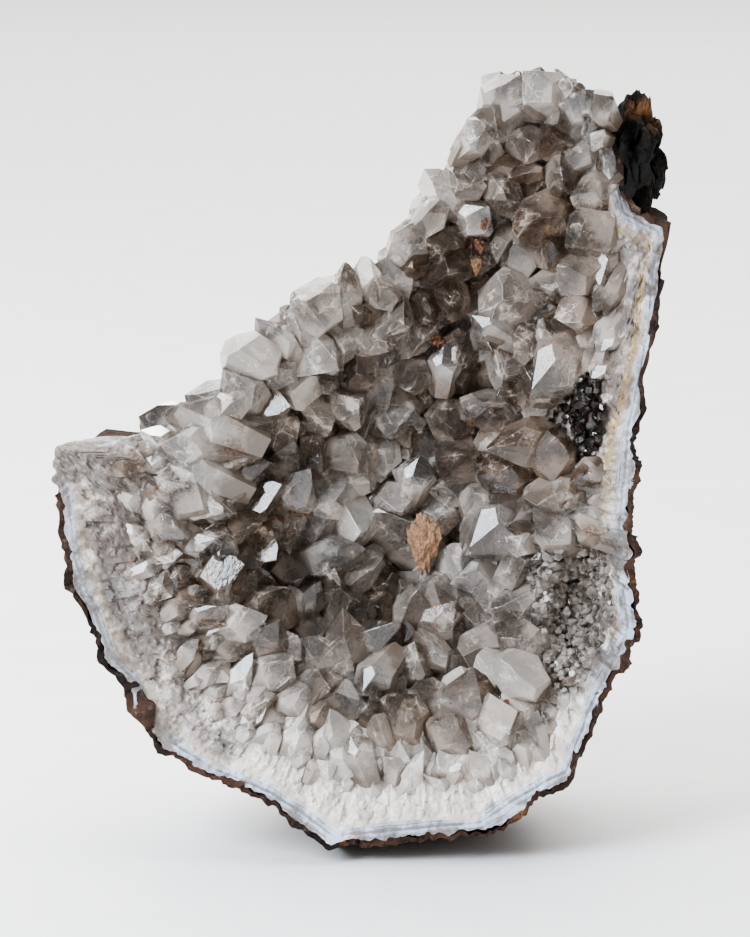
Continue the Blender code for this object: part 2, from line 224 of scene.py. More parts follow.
    def skin(self, angle: float, along: float, inset: float) -> tuple[Vector, Vector]:
        """A point on the rock skin, or under it by an inset, and the way out of the rock there.

        Args:
            angle: direction round the axis, in radians.
            along: way along the skin, 0 at the back's middle and 1 at the rim.
            inset: depth under the skin.

        Returns:
            The point, counted from the axis, and the way out of the rock.
        """
        reach, rim_depth = self.edge_at(True, angle)
        under = max(0.0, -math.sin(angle)) ** 2
        power = 2 / (self.side_roundness + (self.underside_roundness - self.side_roundness) * under)
        turn = along * math.pi / 2
        out = math.sin(turn) ** power
        back = math.cos(turn) ** power
        bulge = self.underside_bulge * under**2 * math.sin(math.pi * back**self.underside_setback) * out
        point = self.from_axis(angle, reach * out + bulge, rim_depth + (self.back_depth - rim_depth) * back)
        away = Vector((point.x, (point.y - rim_depth) * self.away_back, point.z)).normalized()
        lump = noise.noise(point / self.skin_lump_size + self.lump_place) * self.skin_lumps
        grit = noise.noise(point / self.skin_grit_size + self.grit_place) * self.skin_grit
        fade = min(1.0, self.relief_fade * (self.relief_end - along))
        return point + away * ((lump + grit) * fade - inset), away

    def back_at(self, angle: float, reach: float) -> float:
        """How deep the skin's back lies, from the axis' depth, where a ray at an angle has a given reach.

        Args:
            angle: direction round the axis, in radians.
            reach: distance from the axis.

        Returns:
            The skin's depth there.
        """
        for step in range(1, self.back_steps):
            along = step / self.back_steps
            point = self.skin(angle, along, self.rind_thickness(along))[0]
            if math.hypot(point.x, point.z) >= reach:
                return point.y
        return self.skin(angle, 1.0, 0.0)[0].y

    def rim(self, angle: float, across: float) -> Vector:
        """A point on the broken face.

        Args:
            angle: direction round the axis, in radians.
            across: way across the broken face, 0 at the rind and 1 at the cavity.

        Returns:
            The point, counted from the axis.
        """
        cover = self.rind_cover(angle)
        side_share = self.break_side_share * (1.0 - cover)
        if across < side_share:
            forward = across / side_share
            inset = self.rind_thickness(cover) * (1.0 - forward)
            return self.skin(angle, cover + (1.0 - cover) * forward, inset)[0]
        edge = self.skin(angle, 1.0, self.rind_thickness(1.0))[0]
        inward = (across - side_share) / (1.0 - side_share)
        reach = math.hypot(edge.x, edge.z)
        inner_reach, inner_depth = self.edge_at(False, angle)
        width = max(reach - inner_reach, self.narrowest_rim)
        place = self.from_axis(angle, reach - width * inward, edge.y + (inner_depth - edge.y) * inward)
        rough = noise.noise(place / self.rim_roughness_size) * self.rim_roughness
        from_recess = (math.degrees(angle) - self.recess_at) / self.recess_spread
        dent = self.recess_depth * math.exp(-(from_recess**2))
        swell = math.sin(math.pi * inward) * min(1.0, width / self.wide_rim)
        return place + Vector((0.0, (rough - self.rim_crown + dent) * swell, 0.0))

    @lru_cache(maxsize=None)
    def inner_edge(self, angle: float) -> Vector:
        """The point where the broken face meets the cavity."""
        return self.rim(angle, 1.0).freeze()

    def cavity(self, angle: float, outward: float) -> Vector:
        """A point on the cavity wall.

        Args:
            angle: direction round the axis, in radians.
            outward: way up the cavity wall, 0 at the bowl's bottom and 1 at its edge.

        Returns:
            The point, counted from the axis.
        """
        edge = self.inner_edge(angle)
        reach = math.hypot(edge.x, edge.z)
        depth = edge.y + (self.cavity_depth - edge.y) * (1.0 - outward**self.cavity_roundness)
        place = self.from_axis(angle, reach * outward, depth)
        lump = noise.noise(place / self.wall_lump_size + self.wall_place)
        return place + Vector((0.0, lump * self.wall_lumps * (1.0 - outward**self.wall_lump_fade), 0.0))

    def wall(self, angle: float, outward: float) -> tuple[Vector, Vector]:
        """A place on the cavity wall and the way out into the cavity there.

        Args:
            angle: direction round the axis, in radians.
            outward: way up the cavity wall, 0 at the bowl's bottom and 1 at its edge.

        Returns:
            The place and the way out, both counted from the axis.
        """
        inner = min(outward, self.wall_edge)
        place = self.cavity(angle, outward)
        beside = self.cavity(angle + self.wall_turn, inner) - self.cavity(angle - self.wall_turn, inner)
        deeper = self.cavity(angle, max(0.0, inner - self.wall_step))
        inward = deeper - self.cavity(angle, inner + self.wall_step)
        normal = beside.cross(inward).normalized()
        if normal.y > 0:
            normal.negate()
        return place, normal

    def wall_under(self, right: float, up: float) -> tuple[Vector, Vector]:
        """The place on the wall behind a point given to the right of and above the axis.

        Args:
            right: distance to the right of the axis.
            up: height over the axis.

        Returns:
            The place and the way out into the cavity.
        """
        angle = math.atan2(up, right)
        edge = self.rim(angle, 1.0)
        return self.wall(angle, min(1.0, math.hypot(right, up) / math.hypot(edge.x, edge.z)))

    def ragged(self, angle: float) -> float:
        """How far the broken edge of the rock stands out or in at a direction.

        Args:
            angle: direction round the axis, in radians.

        Returns:
            The distance, out of the rock above 0.
        """
        turned = Vector((math.cos(angle), math.sin(angle), 0.0))
        return sum(
            noise.noise(turned * fine + Vector((0.0, 0.0, aside))) * height * MM
            for fine, aside, height in self.ragged_waves
        )

    def recess(self, angle: float, across: float) -> float:
        """How far the broken face lies back in the recess at the lower right, with its sharp upper edge.

        Args:
            angle: direction round the axis, in radians.
            across: way across the broken face, 0 at the rind and 1 at the cavity.

        Returns:
            The distance towards the back.
        """
        degrees = math.degrees(angle)
        upper, lower = self.recess_sides
        outer, inner = self.recess_across
        inside = ramp(-degrees, *upper) * (1.0 - ramp(-degrees, *lower))
        rising = 1.0 - self.recess_rise * ramp(across, *inner)
        return self.recess_step * inside * ramp(across, *outer) * rising

    def bareness(self, angle: float) -> float:
        """1 where the rind broke off with the top left, 0 where it reaches the rim."""
        return (1.0 - self.rind_cover(angle)) / self.break_depth

    def rim_width(self, angle: float) -> float:
        """How wide the broken face is, from the rind to the cavity."""
        return max(self.edge_at(True, angle)[0] - self.edge_at(False, angle)[0], self.narrowest_rim)


SHAPE = GeodeShape()


def deselect_all() -> None:
    """Leaves nothing selected."""
    if bpy.context.object and bpy.context.object.mode != "OBJECT":
        bpy.ops.object.mode_set(mode="OBJECT")
    bpy.ops.object.select_all(action="DESELECT")


def shaped_sphere(
    name: str, directions: int, rings: int, place: Callable[[int, float], Vector]
) -> bpy.types.Object:
    """A sphere whose rings, counted from the back, are moved to the places of the geode's own form.

    Args:
        name: the piece's name.
        directions: points in each ring.
        rings: rings from the back's middle to the cavity's.
        place: function of ring and angle that gives the point, counted from the axis.

    Returns:
        The closed piece, faces out.
    """
    deselect_all()
    bpy.ops.mesh.primitive_uv_sphere_add(segments=directions, ring_count=rings, radius=1.0)
    piece = bpy.context.object
    piece.name = name
    piece.data.name = name
    for vert in piece.data.vertices:
        ring = round(math.acos(clamp(vert.co.z, -1.0, 1.0)) / math.pi * rings)
        angle = round(math.atan2(vert.co.y, vert.co.x), 6)
        if ring in (0, rings):
            angle = 0.0
        vert.co = place(ring, angle) + SHAPE.axis
    outward_faces(piece)
    return piece


def outward_faces(piece: bpy.types.Object) -> None:
    """Turns every face of a closed piece outwards.

    Args:
        piece: the mesh object.
    """
    bm = bmesh.new()
    bm.from_mesh(piece.data)
    bmesh.ops.recalc_face_normals(bm, faces=bm.faces)
    if bm.calc_volume(signed=True) < 0:
        bmesh.ops.reverse_faces(bm, faces=bm.faces)
    bm.to_mesh(piece.data)
    bm.free()


def store(piece: bpy.types.Object, name: str, values: list) -> None:
    """Stores one number or one vector for each point of a piece.

    Args:
        piece: the mesh object.
        name: the stored layer's name.
        values: one value for each point.
    """
    if isinstance(values[0], float):
        layer = piece.data.attributes.new(name, "FLOAT", "POINT")
        layer.data.foreach_set("value", values)
        return
    layer = piece.data.attributes.new(name, "FLOAT_VECTOR", "POINT")
    layer.data.foreach_set("vector", [number for vector in values for number in vector])


class Finish:
    """A node material under construction, with short ways to add what these stones need."""

    def __init__(self, name: str) -> None:
        """Starts a material with only its shader.

        Args:
            name: the material's name.
        """
        self.material = bpy.data.materials.new(name)
        self.material.use_nodes = True
        self.tree = self.material.node_tree
        self.shader = self.tree.nodes["Principled BSDF"]
        self.place = self.tree.nodes.new("ShaderNodeTexCoord").outputs["Object"]

    def set(self, **sockets: Value) -> None:
        """Sets or links the shader's sockets. Names use underscores for spaces."""
        for name, value in sockets.items():
            self.feed(self.shader.inputs[name.replace("_", " ")], value)

    def feed(self, socket: Socket, value: Value) -> None:
        """Gives a socket a constant or a link.

        Args:
            socket: the socket that gets it.
            value: a constant, or the socket that gives the value.
        """
        if isinstance(value, bpy.types.NodeSocket):
            self.tree.links.new(value, socket)
        elif isinstance(value, tuple) and len(value) == 3 and socket.type == "RGBA":
            socket.default_value = (*value, 1.0)
        else:
            socket.default_value = value

    def attribute(self, name: str, vector: bool = False) -> Socket:
        """Reads a stored number, or a stored vector.

        Args:
            name: the layer's name.
            vector: True for a stored vector.

        Returns:
            The layer's socket.
        """
        node = self.tree.nodes.new("ShaderNodeAttribute")
        node.attribute_name = name
        return node.outputs["Vector" if vector else "Fac"]

    def cloud(
        self, scale: float, detail: float = 4.0, roughness: float = 0.55, where: Optional[Socket] = None,
        twist: float = 0.0,
    ) -> Socket:
        """A soft noise pattern.

        Args:
            scale: pattern repeats in a metre, or in a unit of the vector.
            detail: number of finer layers in the noise.
            roughness: strength of the finer layers.
            where: the vector that it follows, or None for the place in the piece.
            twist: strength of the pattern's distortion.

        Returns:
            The noise, 0 to 1.
        """
        node = self.tree.nodes.new("ShaderNodeTexNoise")
        node.inputs["Scale"].default_value = scale
        node.inputs["Detail"].default_value = detail
        node.inputs["Roughness"].default_value = roughness
        node.inputs["Distortion"].default_value = twist
        self.tree.links.new(where or self.place, node.inputs["Vector"])
        return node.outputs["Fac"]

    def shifted(self, value: Socket, distance: float) -> Socket:
        """The place in the piece, pushed aside by a value times a distance.

        Args:
            value: the value that pushes.
            distance: how far it is pushed, in metres.

        Returns:
            The pushed place.
        """
        push = self.tree.nodes.new("ShaderNodeVectorMath")
        push.operation = "MULTIPLY_ADD"
        self.tree.links.new(value, push.inputs[0])
        push.inputs[1].default_value = (distance, -distance, distance)
        self.tree.links.new(self.place, push.inputs[2])
        return push.outputs["Vector"]

    def layers(self, along: Socket, scale: float, detail: float) -> Socket:
        """A noise that changes along one value only.

        Args:
            along: the value that the layers follow.
            scale: pattern repeats in a metre, or in a unit of the vector.
            detail: number of finer layers in the noise.

        Returns:
            The noise, 0 to 1.
        """
        node = self.tree.nodes.new("ShaderNodeTexNoise")
        node.noise_dimensions = "1D"
        node.inputs["Scale"].default_value = scale
        node.inputs["Detail"].default_value = detail
        self.tree.links.new(along, node.inputs["W"])
        return node.outputs["Fac"]

    def cells(self, scale: float, where: Optional[Socket] = None, feature: str = "F1") -> Socket:
        """A pattern of cells, as the distance to a cell's heart or edge.

        Args:
            scale: pattern repeats in a metre, or in a unit of the vector.
            where: the vector that it follows, or None for the place in the piece.
            feature: F1 for the hearts, DISTANCE_TO_EDGE for the edges.

        Returns:
            The distance, in cells.
        """
        node = self.tree.nodes.new("ShaderNodeTexVoronoi")
        node.feature = feature
        node.inputs["Scale"].default_value = scale
        self.tree.links.new(where or self.place, node.inputs["Vector"])
        return node.outputs["Distance"]

    def step(
        self, value: Value, low: float, high: float, out_low: float = 0.0, out_high: float = 1.0
    ) -> Socket:
        """Maps a value from one range to another and clamps it.

        Args:
            value: a constant, or the socket that gives the value.
            low: start of the range.
            high: end of the range.
            out_low: result at the start.
            out_high: result at the end.

        Returns:
            The mapped value.
        """
        node = self.tree.nodes.new("ShaderNodeMapRange")
        node.interpolation_type = "SMOOTHSTEP"
        limits = {"From Min": low, "From Max": high, "To Min": out_low, "To Max": out_high}
        for name, number in limits.items():
            node.inputs[name].default_value = number
        self.feed(node.inputs["Value"], value)
        return node.outputs["Result"]

    def arithmetic(self, operation: str, first: Value, second: Value) -> Socket:
        """One arithmetic step between two values.

        Args:
            operation: Blender's name of the operation.
            first: the first value.
            second: the second value.

        Returns:
            The result.
        """
        node = self.tree.nodes.new("ShaderNodeMath")
        node.operation = operation
        self.feed(node.inputs[0], first)
        self.feed(node.inputs[1], second)
        return node.outputs[0]

    def times(self, first: Value, second: Value) -> Socket:
        """The product of two values."""
        return self.arithmetic("MULTIPLY", first, second)

    def plus(self, first: Value, second: Value) -> Socket:
        """The sum of two values."""
        return self.arithmetic("ADD", first, second)

    def blend(self, share: Value, first: Value, second: Value) -> Socket:
        """A colour between two others.

        Args:
            share: share of the second colour.
            first: the first value.
            second: the second value.

        Returns:
            The colour.
        """
        node = self.tree.nodes.new("ShaderNodeMix")
        node.data_type = "RGBA"
        self.feed(node.inputs["Factor"], share)
        self.feed(node.inputs[6], first)
        self.feed(node.inputs[7], second)
        return node.outputs[2]

    def relief(
        self, height: Value, distance: float, strength: float = 1.0, under: Optional[Socket] = None
    ) -> Socket:
        """A bump, in metres, over another one where that is given.

        Args:
            height: the value that makes the bump.
            distance: the bump's height, in metres.
            strength: the bump's strength.
            under: the bump that it lies on, or None.

        Returns:
            The bent normal.
        """
        node = self.tree.nodes.new("ShaderNodeBump")
        node.inputs["Distance"].default_value = distance
        node.inputs["Strength"].default_value = strength
        self.feed(node.inputs["Height"], height)
        if under is not None:
            self.tree.links.new(under, node.inputs["Normal"])
        return node.outputs["Normal"]

    def absorb(self, colour: Colour, density: float) -> None:
        """Lets the inside of the crystal swallow light.

        Args:
            colour: what a metre of the stone lets through.
            density: strength of the absorption.
        """
        node = self.tree.nodes.new("ShaderNodeVolumeAbsorption")
        node.inputs["Color"].default_value = (*colour, 1.0)
        node.inputs["Density"].default_value = density
        output = self.tree.nodes["Material Output"]
        self.tree.links.new(node.outputs["Volume"], output.inputs["Volume"])


@dataclass(frozen=True)
class RockFinish:
    """Dark brown host rock: vesicles, red-brown rust, grey weathering, a few olive and orange stains, and a
    painted highlight on the lobe's lit top.
    """

    dark: Colour = (0.018, 0.011, 0.009)
    brown: Colour = (0.080, 0.040, 0.026)
    rust: Colour = (0.30, 0.125, 0.045)
    dust: Colour = (0.30, 0.25, 0.21)
    # painted light: the colour of the lobe's top where the light falls on it
    lit_top: Colour = (0.17, 0.075, 0.03)
    sheen: float = 0.2
    patch_scale: float = 38.0
    patch_limits: Limits = (0.40, 0.62)
    patch_shift: Limits = (0.15, 0.12)
    rust_scale: float = 70.0
    dust_scale: float = 190.0
    field_scale: float = 55.0
    hole_scale: float = 240.0
    hole_shift: float = 9 * MM
    grain_scale: float = 900.0
    granule_relief: float = 2.2 * MM
    pit_relief: float = 1.0 * MM
    grain_relief: float = 0.5 * MM

    def make(self, name: str, darkness: float) -> bpy.types.Material:
        """Builds the material; darkness moves it from brown to black.

        Args:
            name: the material's name.
            darkness: 0 for brown rock and 1 for black.

        Returns:
            The finished material.
        """
        finish = Finish(name)
        low, high = (
            limit + shift * darkness for limit, shift in zip(self.patch_limits, self.patch_shift)
        )
        patches = finish.step(finish.cloud(self.patch_scale, 6.0, 0.6), low, high)
        colour = finish.blend(patches, self.dark, self.brown)
        rust = finish.step(finish.cloud(self.rust_scale, 8.0, 0.65, twist=0.6), 0.58, 0.72)
        colour = finish.blend(rust, colour, self.rust)
        dust = finish.step(finish.cloud(self.dust_scale, 6.0, 0.75), 0.54, 0.74, 0.0, 0.5)
        colour = finish.blend(dust, colour, self.dust)
        # painted light: the lobe's top is painted a lighter brown where the light falls on it
        colour = finish.blend(finish.times(finish.attribute("lit_top"), patches), colour, self.lit_top)
        fields = finish.step(finish.cloud(self.field_scale, 4.0, 0.6), 0.44, 0.60)
        bent = finish.shifted(patches, self.hole_shift)
        holes = finish.step(finish.cells(self.hole_scale, bent), 0.10, 0.42)
        pits = finish.arithmetic("MAXIMUM", holes, finish.arithmetic("SUBTRACT", 1.0, fields))
        colour = finish.blend(finish.times(pits, 0.85), self.dark, colour)
        grain = finish.cloud(self.grain_scale, 6.0, 0.7)
        granular = finish.relief(finish.cloud(self.hole_scale, 7.0, 0.72), self.granule_relief, 0.7)
        coarse = finish.relief(pits, self.pit_relief, 0.7, granular)
        finish.set(
            Base_Color=colour,
            Roughness=finish.step(grain, 0.3, 0.7, 0.62, 0.95),
            Normal=finish.relief(grain, self.grain_relief, 0.8, coarse),
            Specular_IOR_Level=self.sheen,
        )
        return finish.material


@dataclass(frozen=True)
class BodyFinish:
    """The massive quartz: blue-white chalcedony by the rind, then white to brown columnar quartz, darker at
    the sides partly by its smoky tone and partly by painted shade, with painted shadow patches near the rind.
    """

    chalcedony: Colour = (0.60, 0.69, 0.84)
    chalcedony_grey: Colour = (0.20, 0.205, 0.215)
    white: Colour = (0.86, 0.79, 0.73)
    pink: Colour = (0.33, 0.25, 0.205)
    grey: Colour = (0.25, 0.235, 0.225)
    shadow: Colour = (0.10, 0.095, 0.09)
    # partly smoky quartz, partly painted shade: the dark colour of the shaded sides
    smoke_and_shade: Colour = (0.14, 0.115, 0.10)
    brown: Colour = (0.17, 0.105, 0.072)
    wall: Colour = (0.19, 0.15, 0.125)
    wall_dark: Colour = (0.045, 0.032, 0.025)
    ochre: Colour = (0.50, 0.33, 0.09)
    rust: Colour = (0.36, 0.15, 0.055)
    streak_scale: float = 0.9
    mottle_scale: float = 95.0
    fine_scale: float = 420.0
    blotch_scale: float = 70.0
    brown_scale: float = 52.0
    shadow_scale: float = 42.0
    wall_rust_scale: float = 60.0
    chip_scale: float = 330.0
    etch_scale: float = 1100.0
    layer_scale: float = 0.9
    band_width: Limits = (13.5, 16.0)
    inner_part: Limits = (10.0, 26.0)
    shadow_part: Limits = (12.0, 34.0)
    chip_relief: float = 0.9 * MM
    etch_relief: float = 0.35 * MM
    refraction: float = 1.54
    glow: float = 0.18
    glow_colours: Colour = (1.0, 0.85, 0.75)
    glow_depth: float = 3.0 * MM

    def make(self) -> bpy.types.Material:
        """Builds the material from the stored distances and stains.

        Returns:
            The finished material.
        """
        finish = Finish("massive_quartz")
        grain = finish.attribute("grain", vector=True)
        edge = finish.attribute("edge")
        smoke_and_shade = finish.attribute("smoke_and_shade")
        streaks = finish.cloud(self.streak_scale, 7.0, 0.62, grain, 0.4)
        mottle = finish.cloud(self.mottle_scale, 6.0, 0.6)
        fine = finish.cloud(self.fine_scale, 5.0, 0.65)
        blotches = finish.cloud(self.blotch_scale, 5.0, 0.6, twist=0.4)
        inward = finish.step(edge, *self.inner_part)
        # the sides' share of smoky tone and painted shade brings in the pink, grey and brown
        tinted = finish.step(smoke_and_shade, 0.0, 0.5, 0.42, 1.0)
        stone = finish.blend(finish.times(tinted, finish.step(streaks, 0.44, 0.60)), self.white, self.pink)
        mottled = finish.times(inward, finish.step(mottle, 0.42, 0.58))
        stone = finish.blend(finish.times(tinted, mottled), stone, self.grey)
        browned = finish.step(finish.cloud(self.brown_scale, 6.0, 0.65, twist=0.5), 0.56, 0.68)
        stone = finish.blend(finish.times(tinted, browned), stone, self.brown)
        stone = finish.blend(finish.step(fine, 0.54, 0.68, 0.0, 0.7), stone, self.white)
        wavy = finish.plus(edge, finish.times(mottle, 2.2))
        layers = finish.layers(wavy, self.layer_scale, 3.0)
        bands = finish.plus(finish.times(layers, 0.4), finish.times(blotches, 0.6))
        banded = finish.blend(finish.step(bands, 0.43, 0.55), self.chalcedony_grey, self.chalcedony)
        ragged = finish.plus(edge, finish.times(streaks, 6.0))
        ragged = finish.plus(ragged, finish.times(blotches, 9.0))
        stone = finish.blend(finish.step(ragged, *self.band_width), banded, stone)
        near_rind = finish.step(edge, *self.shadow_part, 1.0, 0.0)
        shadows = finish.step(finish.cloud(self.shadow_scale, 7.0, 0.68, twist=0.3), 0.46, 0.56)
        dark = finish.times(finish.times(near_rind, shadows), finish.step(smoke_and_shade, 0.0, 0.35, 0.12, 0.95))
        stone = finish.blend(dark, stone, self.shadow)
        wall = finish.blend(finish.step(mottle, 0.40, 0.62), self.wall_dark, self.wall)
        rusty = finish.step(finish.cloud(self.wall_rust_scale, 5.0, 0.6, twist=0.5), 0.60, 0.72)
        wall = finish.blend(rusty, wall, self.rust)
        stone = finish.blend(finish.attribute("wall"), stone, wall)
        for stain, colour, low, high in (("ochre", self.ochre, 0.3, 0.6), ("rust", self.rust, 0.25, 0.55)):
            share = finish.times(finish.attribute(stain), finish.step(fine, low, high))
            stone = finish.blend(share, stone, colour)
        # painted shade, partly smoky tone: the sides of the broken face are darkened
        smoked_and_shaded = finish.times(smoke_and_shade, finish.step(mottle, 0.36, 0.56, 0.3, 1.0))
        stone = finish.blend(smoked_and_shaded, stone, self.smoke_and_shade)
        glassy = finish.step(finish.cells(self.chip_scale), 0.1, 0.6)
        coarse = finish.relief(glassy, self.chip_relief, 0.6)
        finish.set(
            Base_Color=stone,
            Roughness=finish.step(fine, 0.35, 0.65, 0.18, 0.55),
            Normal=finish.relief(finish.cloud(self.etch_scale, 4.0, 0.6), self.etch_relief, 0.7, coarse),
            IOR=self.refraction,
            Subsurface_Weight=self.glow,
            Subsurface_Radius=self.glow_colours,
            Subsurface_Scale=self.glow_depth,
        )
        return finish.material


@dataclass(frozen=True)
class CrystalFinish:
    """See-through quartz: pale to smoky by crystal, with painted shade that darkens it and makes it opaque
    towards the root, veils, faint growth lines, and pale edges that are partly worn and partly a painted
    highlight.
    """

    pale: Colour = (0.90, 0.855, 0.805)
    smoky: Colour = (0.46, 0.33, 0.24)
    milk: Colour = (0.66, 0.582, 0.515)
    stain: Colour = (0.16, 0.072, 0.036)
    # painted shade: the colours towards a crystal's root, where the crystals crowd together
    root_shade_pale: Colour = (0.20, 0.155, 0.12)
    root_shade_dark: Colour = (0.045, 0.028, 0.019)
    inside: Colour = (0.74, 0.59, 0.47)
    density: float = 46.0
    clearest: float = 0.97
    cloudiest: float = 0.25
    veil_scale: float = 95.0
    veil_relief: float = 0.3 * MM
    etch_scale: float = 700.0
    etch_relief: float = 0.15 * MM
    crack_scale: float = 130.0
    crack_bend: float = 9 * MM
    stain_scale: float = 75.0
    speck_scale: float = 620.0
    pit_scale: float = 450.0
    growth_lines: float = 75.0
    growth_relief: float = 0.04 * MM
    refraction: float = 1.544

    def make(self, name: str, cloudiness: float) -> bpy.types.Material:
        """Builds the material; cloudiness is the share of milk in the clearest crystals.

        Args:
            name: the material's name.
            cloudiness: share of milk in the clearest crystals.

        Returns:
            The finished material.
        """
        finish = Finish(name)
        tint = finish.attribute("tint")
        milk = finish.attribute("milk")
        height = finish.attribute("height")
        facet = finish.attribute("facet")
        veils = finish.cloud(self.veil_scale, 5.0, 0.66)
        fine = finish.cloud(self.etch_scale, 2.0, 0.6)
        colour = finish.blend(tint, self.pale, self.smoky)
        cloudy = finish.plus(milk, finish.step(veils, 0.50, 0.74, 0.0, 0.6))
        # the narrow faces along the edges are paled, partly real wear and partly a painted highlight along
        # the edges
        worn_and_highlit = finish.step(facet, 0.9, 0.95, 0.0, 0.05)
        frosted_and_highlit = finish.plus(finish.step(facet, 0.62, 0.78, 0.0, 0.22), worn_and_highlit)
        cloudy = finish.plus(cloudy, frosted_and_highlit)
        bent = finish.shifted(veils, self.crack_bend)
        cracks = finish.cells(self.crack_scale, bent, feature="DISTANCE_TO_EDGE")
        cracks = finish.step(cracks, 0.0, 0.05, 0.34, 0.0)
        cloudy = finish.plus(cloudy, finish.times(cracks, finish.step(veils, 0.42, 0.58)))
        cloudy = finish.step(cloudy, 0.0, 1.3, cloudiness, 0.92)
        colour = finish.blend(cloudy, colour, self.milk)
        # painted shade: each crystal is darkened and made opaque towards its root, where the crystals crowd
        # together
        uneven_height = finish.plus(height, finish.step(veils, 0.3, 0.7, -0.15, 0.15))
        root_shade = finish.step(uneven_height, 0.15, 0.75, 0.95, 0.0)
        colour = finish.blend(root_shade, colour, finish.blend(tint, self.root_shade_pale, self.root_shade_dark))
        seeping = finish.cloud(self.stain_scale, 3.0, 0.62)
        seeping = finish.plus(seeping, finish.step(height, 0.1, 0.9, 0.04, -0.06))
        stained = finish.times(finish.step(seeping, 0.57, 0.76), finish.step(fine, 0.42, 0.6, 0.1, 0.9))
        specks = finish.step(finish.cells(self.speck_scale), 0.14, 0.26, 0.85, 0.0)
        specks = finish.times(specks, finish.step(seeping, 0.50, 0.60))
        stained = finish.arithmetic("MAXIMUM", stained, specks)
        colour = finish.blend(stained, colour, self.stain)
        grown = finish.times(finish.plus(height, finish.times(veils, 0.35)), self.growth_lines)
        ringed = finish.arithmetic("SINE", grown, 0.0)
        etched = finish.relief(fine, self.etch_relief, 0.35)
        pitted = finish.relief(finish.cells(self.pit_scale), self.etch_relief, 0.2, etched)
        lined = finish.relief(ringed, self.growth_relief, 0.05, pitted)
        opaque = finish.plus(finish.plus(cloudy, stained), root_shade)
        finish.set(
            Base_Color=colour,
            Roughness=finish.step(finish.plus(fine, cloudy), 0.4, 1.5, 0.04, 0.28),
            Transmission_Weight=finish.step(opaque, 0.0, 1.0, self.clearest, self.cloudiest),
            Normal=finish.relief(veils, self.veil_relief, 0.12, lined),
            IOR=self.refraction,
        )
        finish.absorb(self.inside, self.density)
        return finish.material


@dataclass(frozen=True)
class GoethiteFinish:
    """Goethite: a sandy tan crust, or rust-brown needles and flakes with a dull metallic glint."""

    light: Colour = (0.36, 0.215, 0.125)
    dark: Colour = (0.17, 0.09, 0.05)
    roughness: float = 0.85
    metallic: float = 0.0
    grain_scale: float = 900.0
    grain_relief: float = 0.5 * MM

    def make(self, name: str) -> bpy.types.Material:
        """Builds the material.

        Args:
            name: the material's name.

        Returns:
            The finished material.
        """
        finish = Finish(name)
        grains = finish.cloud(self.grain_scale, 5.0, 0.7)
        colour = finish.blend(finish.step(grains, 0.35, 0.65), self.dark, self.light)
        finish.set(
            Base_Color=colour,
            Roughness=finish.step(grains, 0.3, 0.7, self.roughness - 0.15, min(1.0, self.roughness + 0.1)),
            Metallic=self.metallic,
            Normal=finish.relief(grains, self.grain_relief, 0.9),
        )
        return finish.material


class Termination(Enum):
    """How a quartz column ends."""

    POINTED = "pointed"
    BROKEN = "broken"


@dataclass(frozen=True)
class CrystalPattern:
    """One crystal, modelled once and copied: points from root to tip, in units of its radius."""

    points: tuple
    faces: tuple
    worn_and_highlit: tuple
    top: float


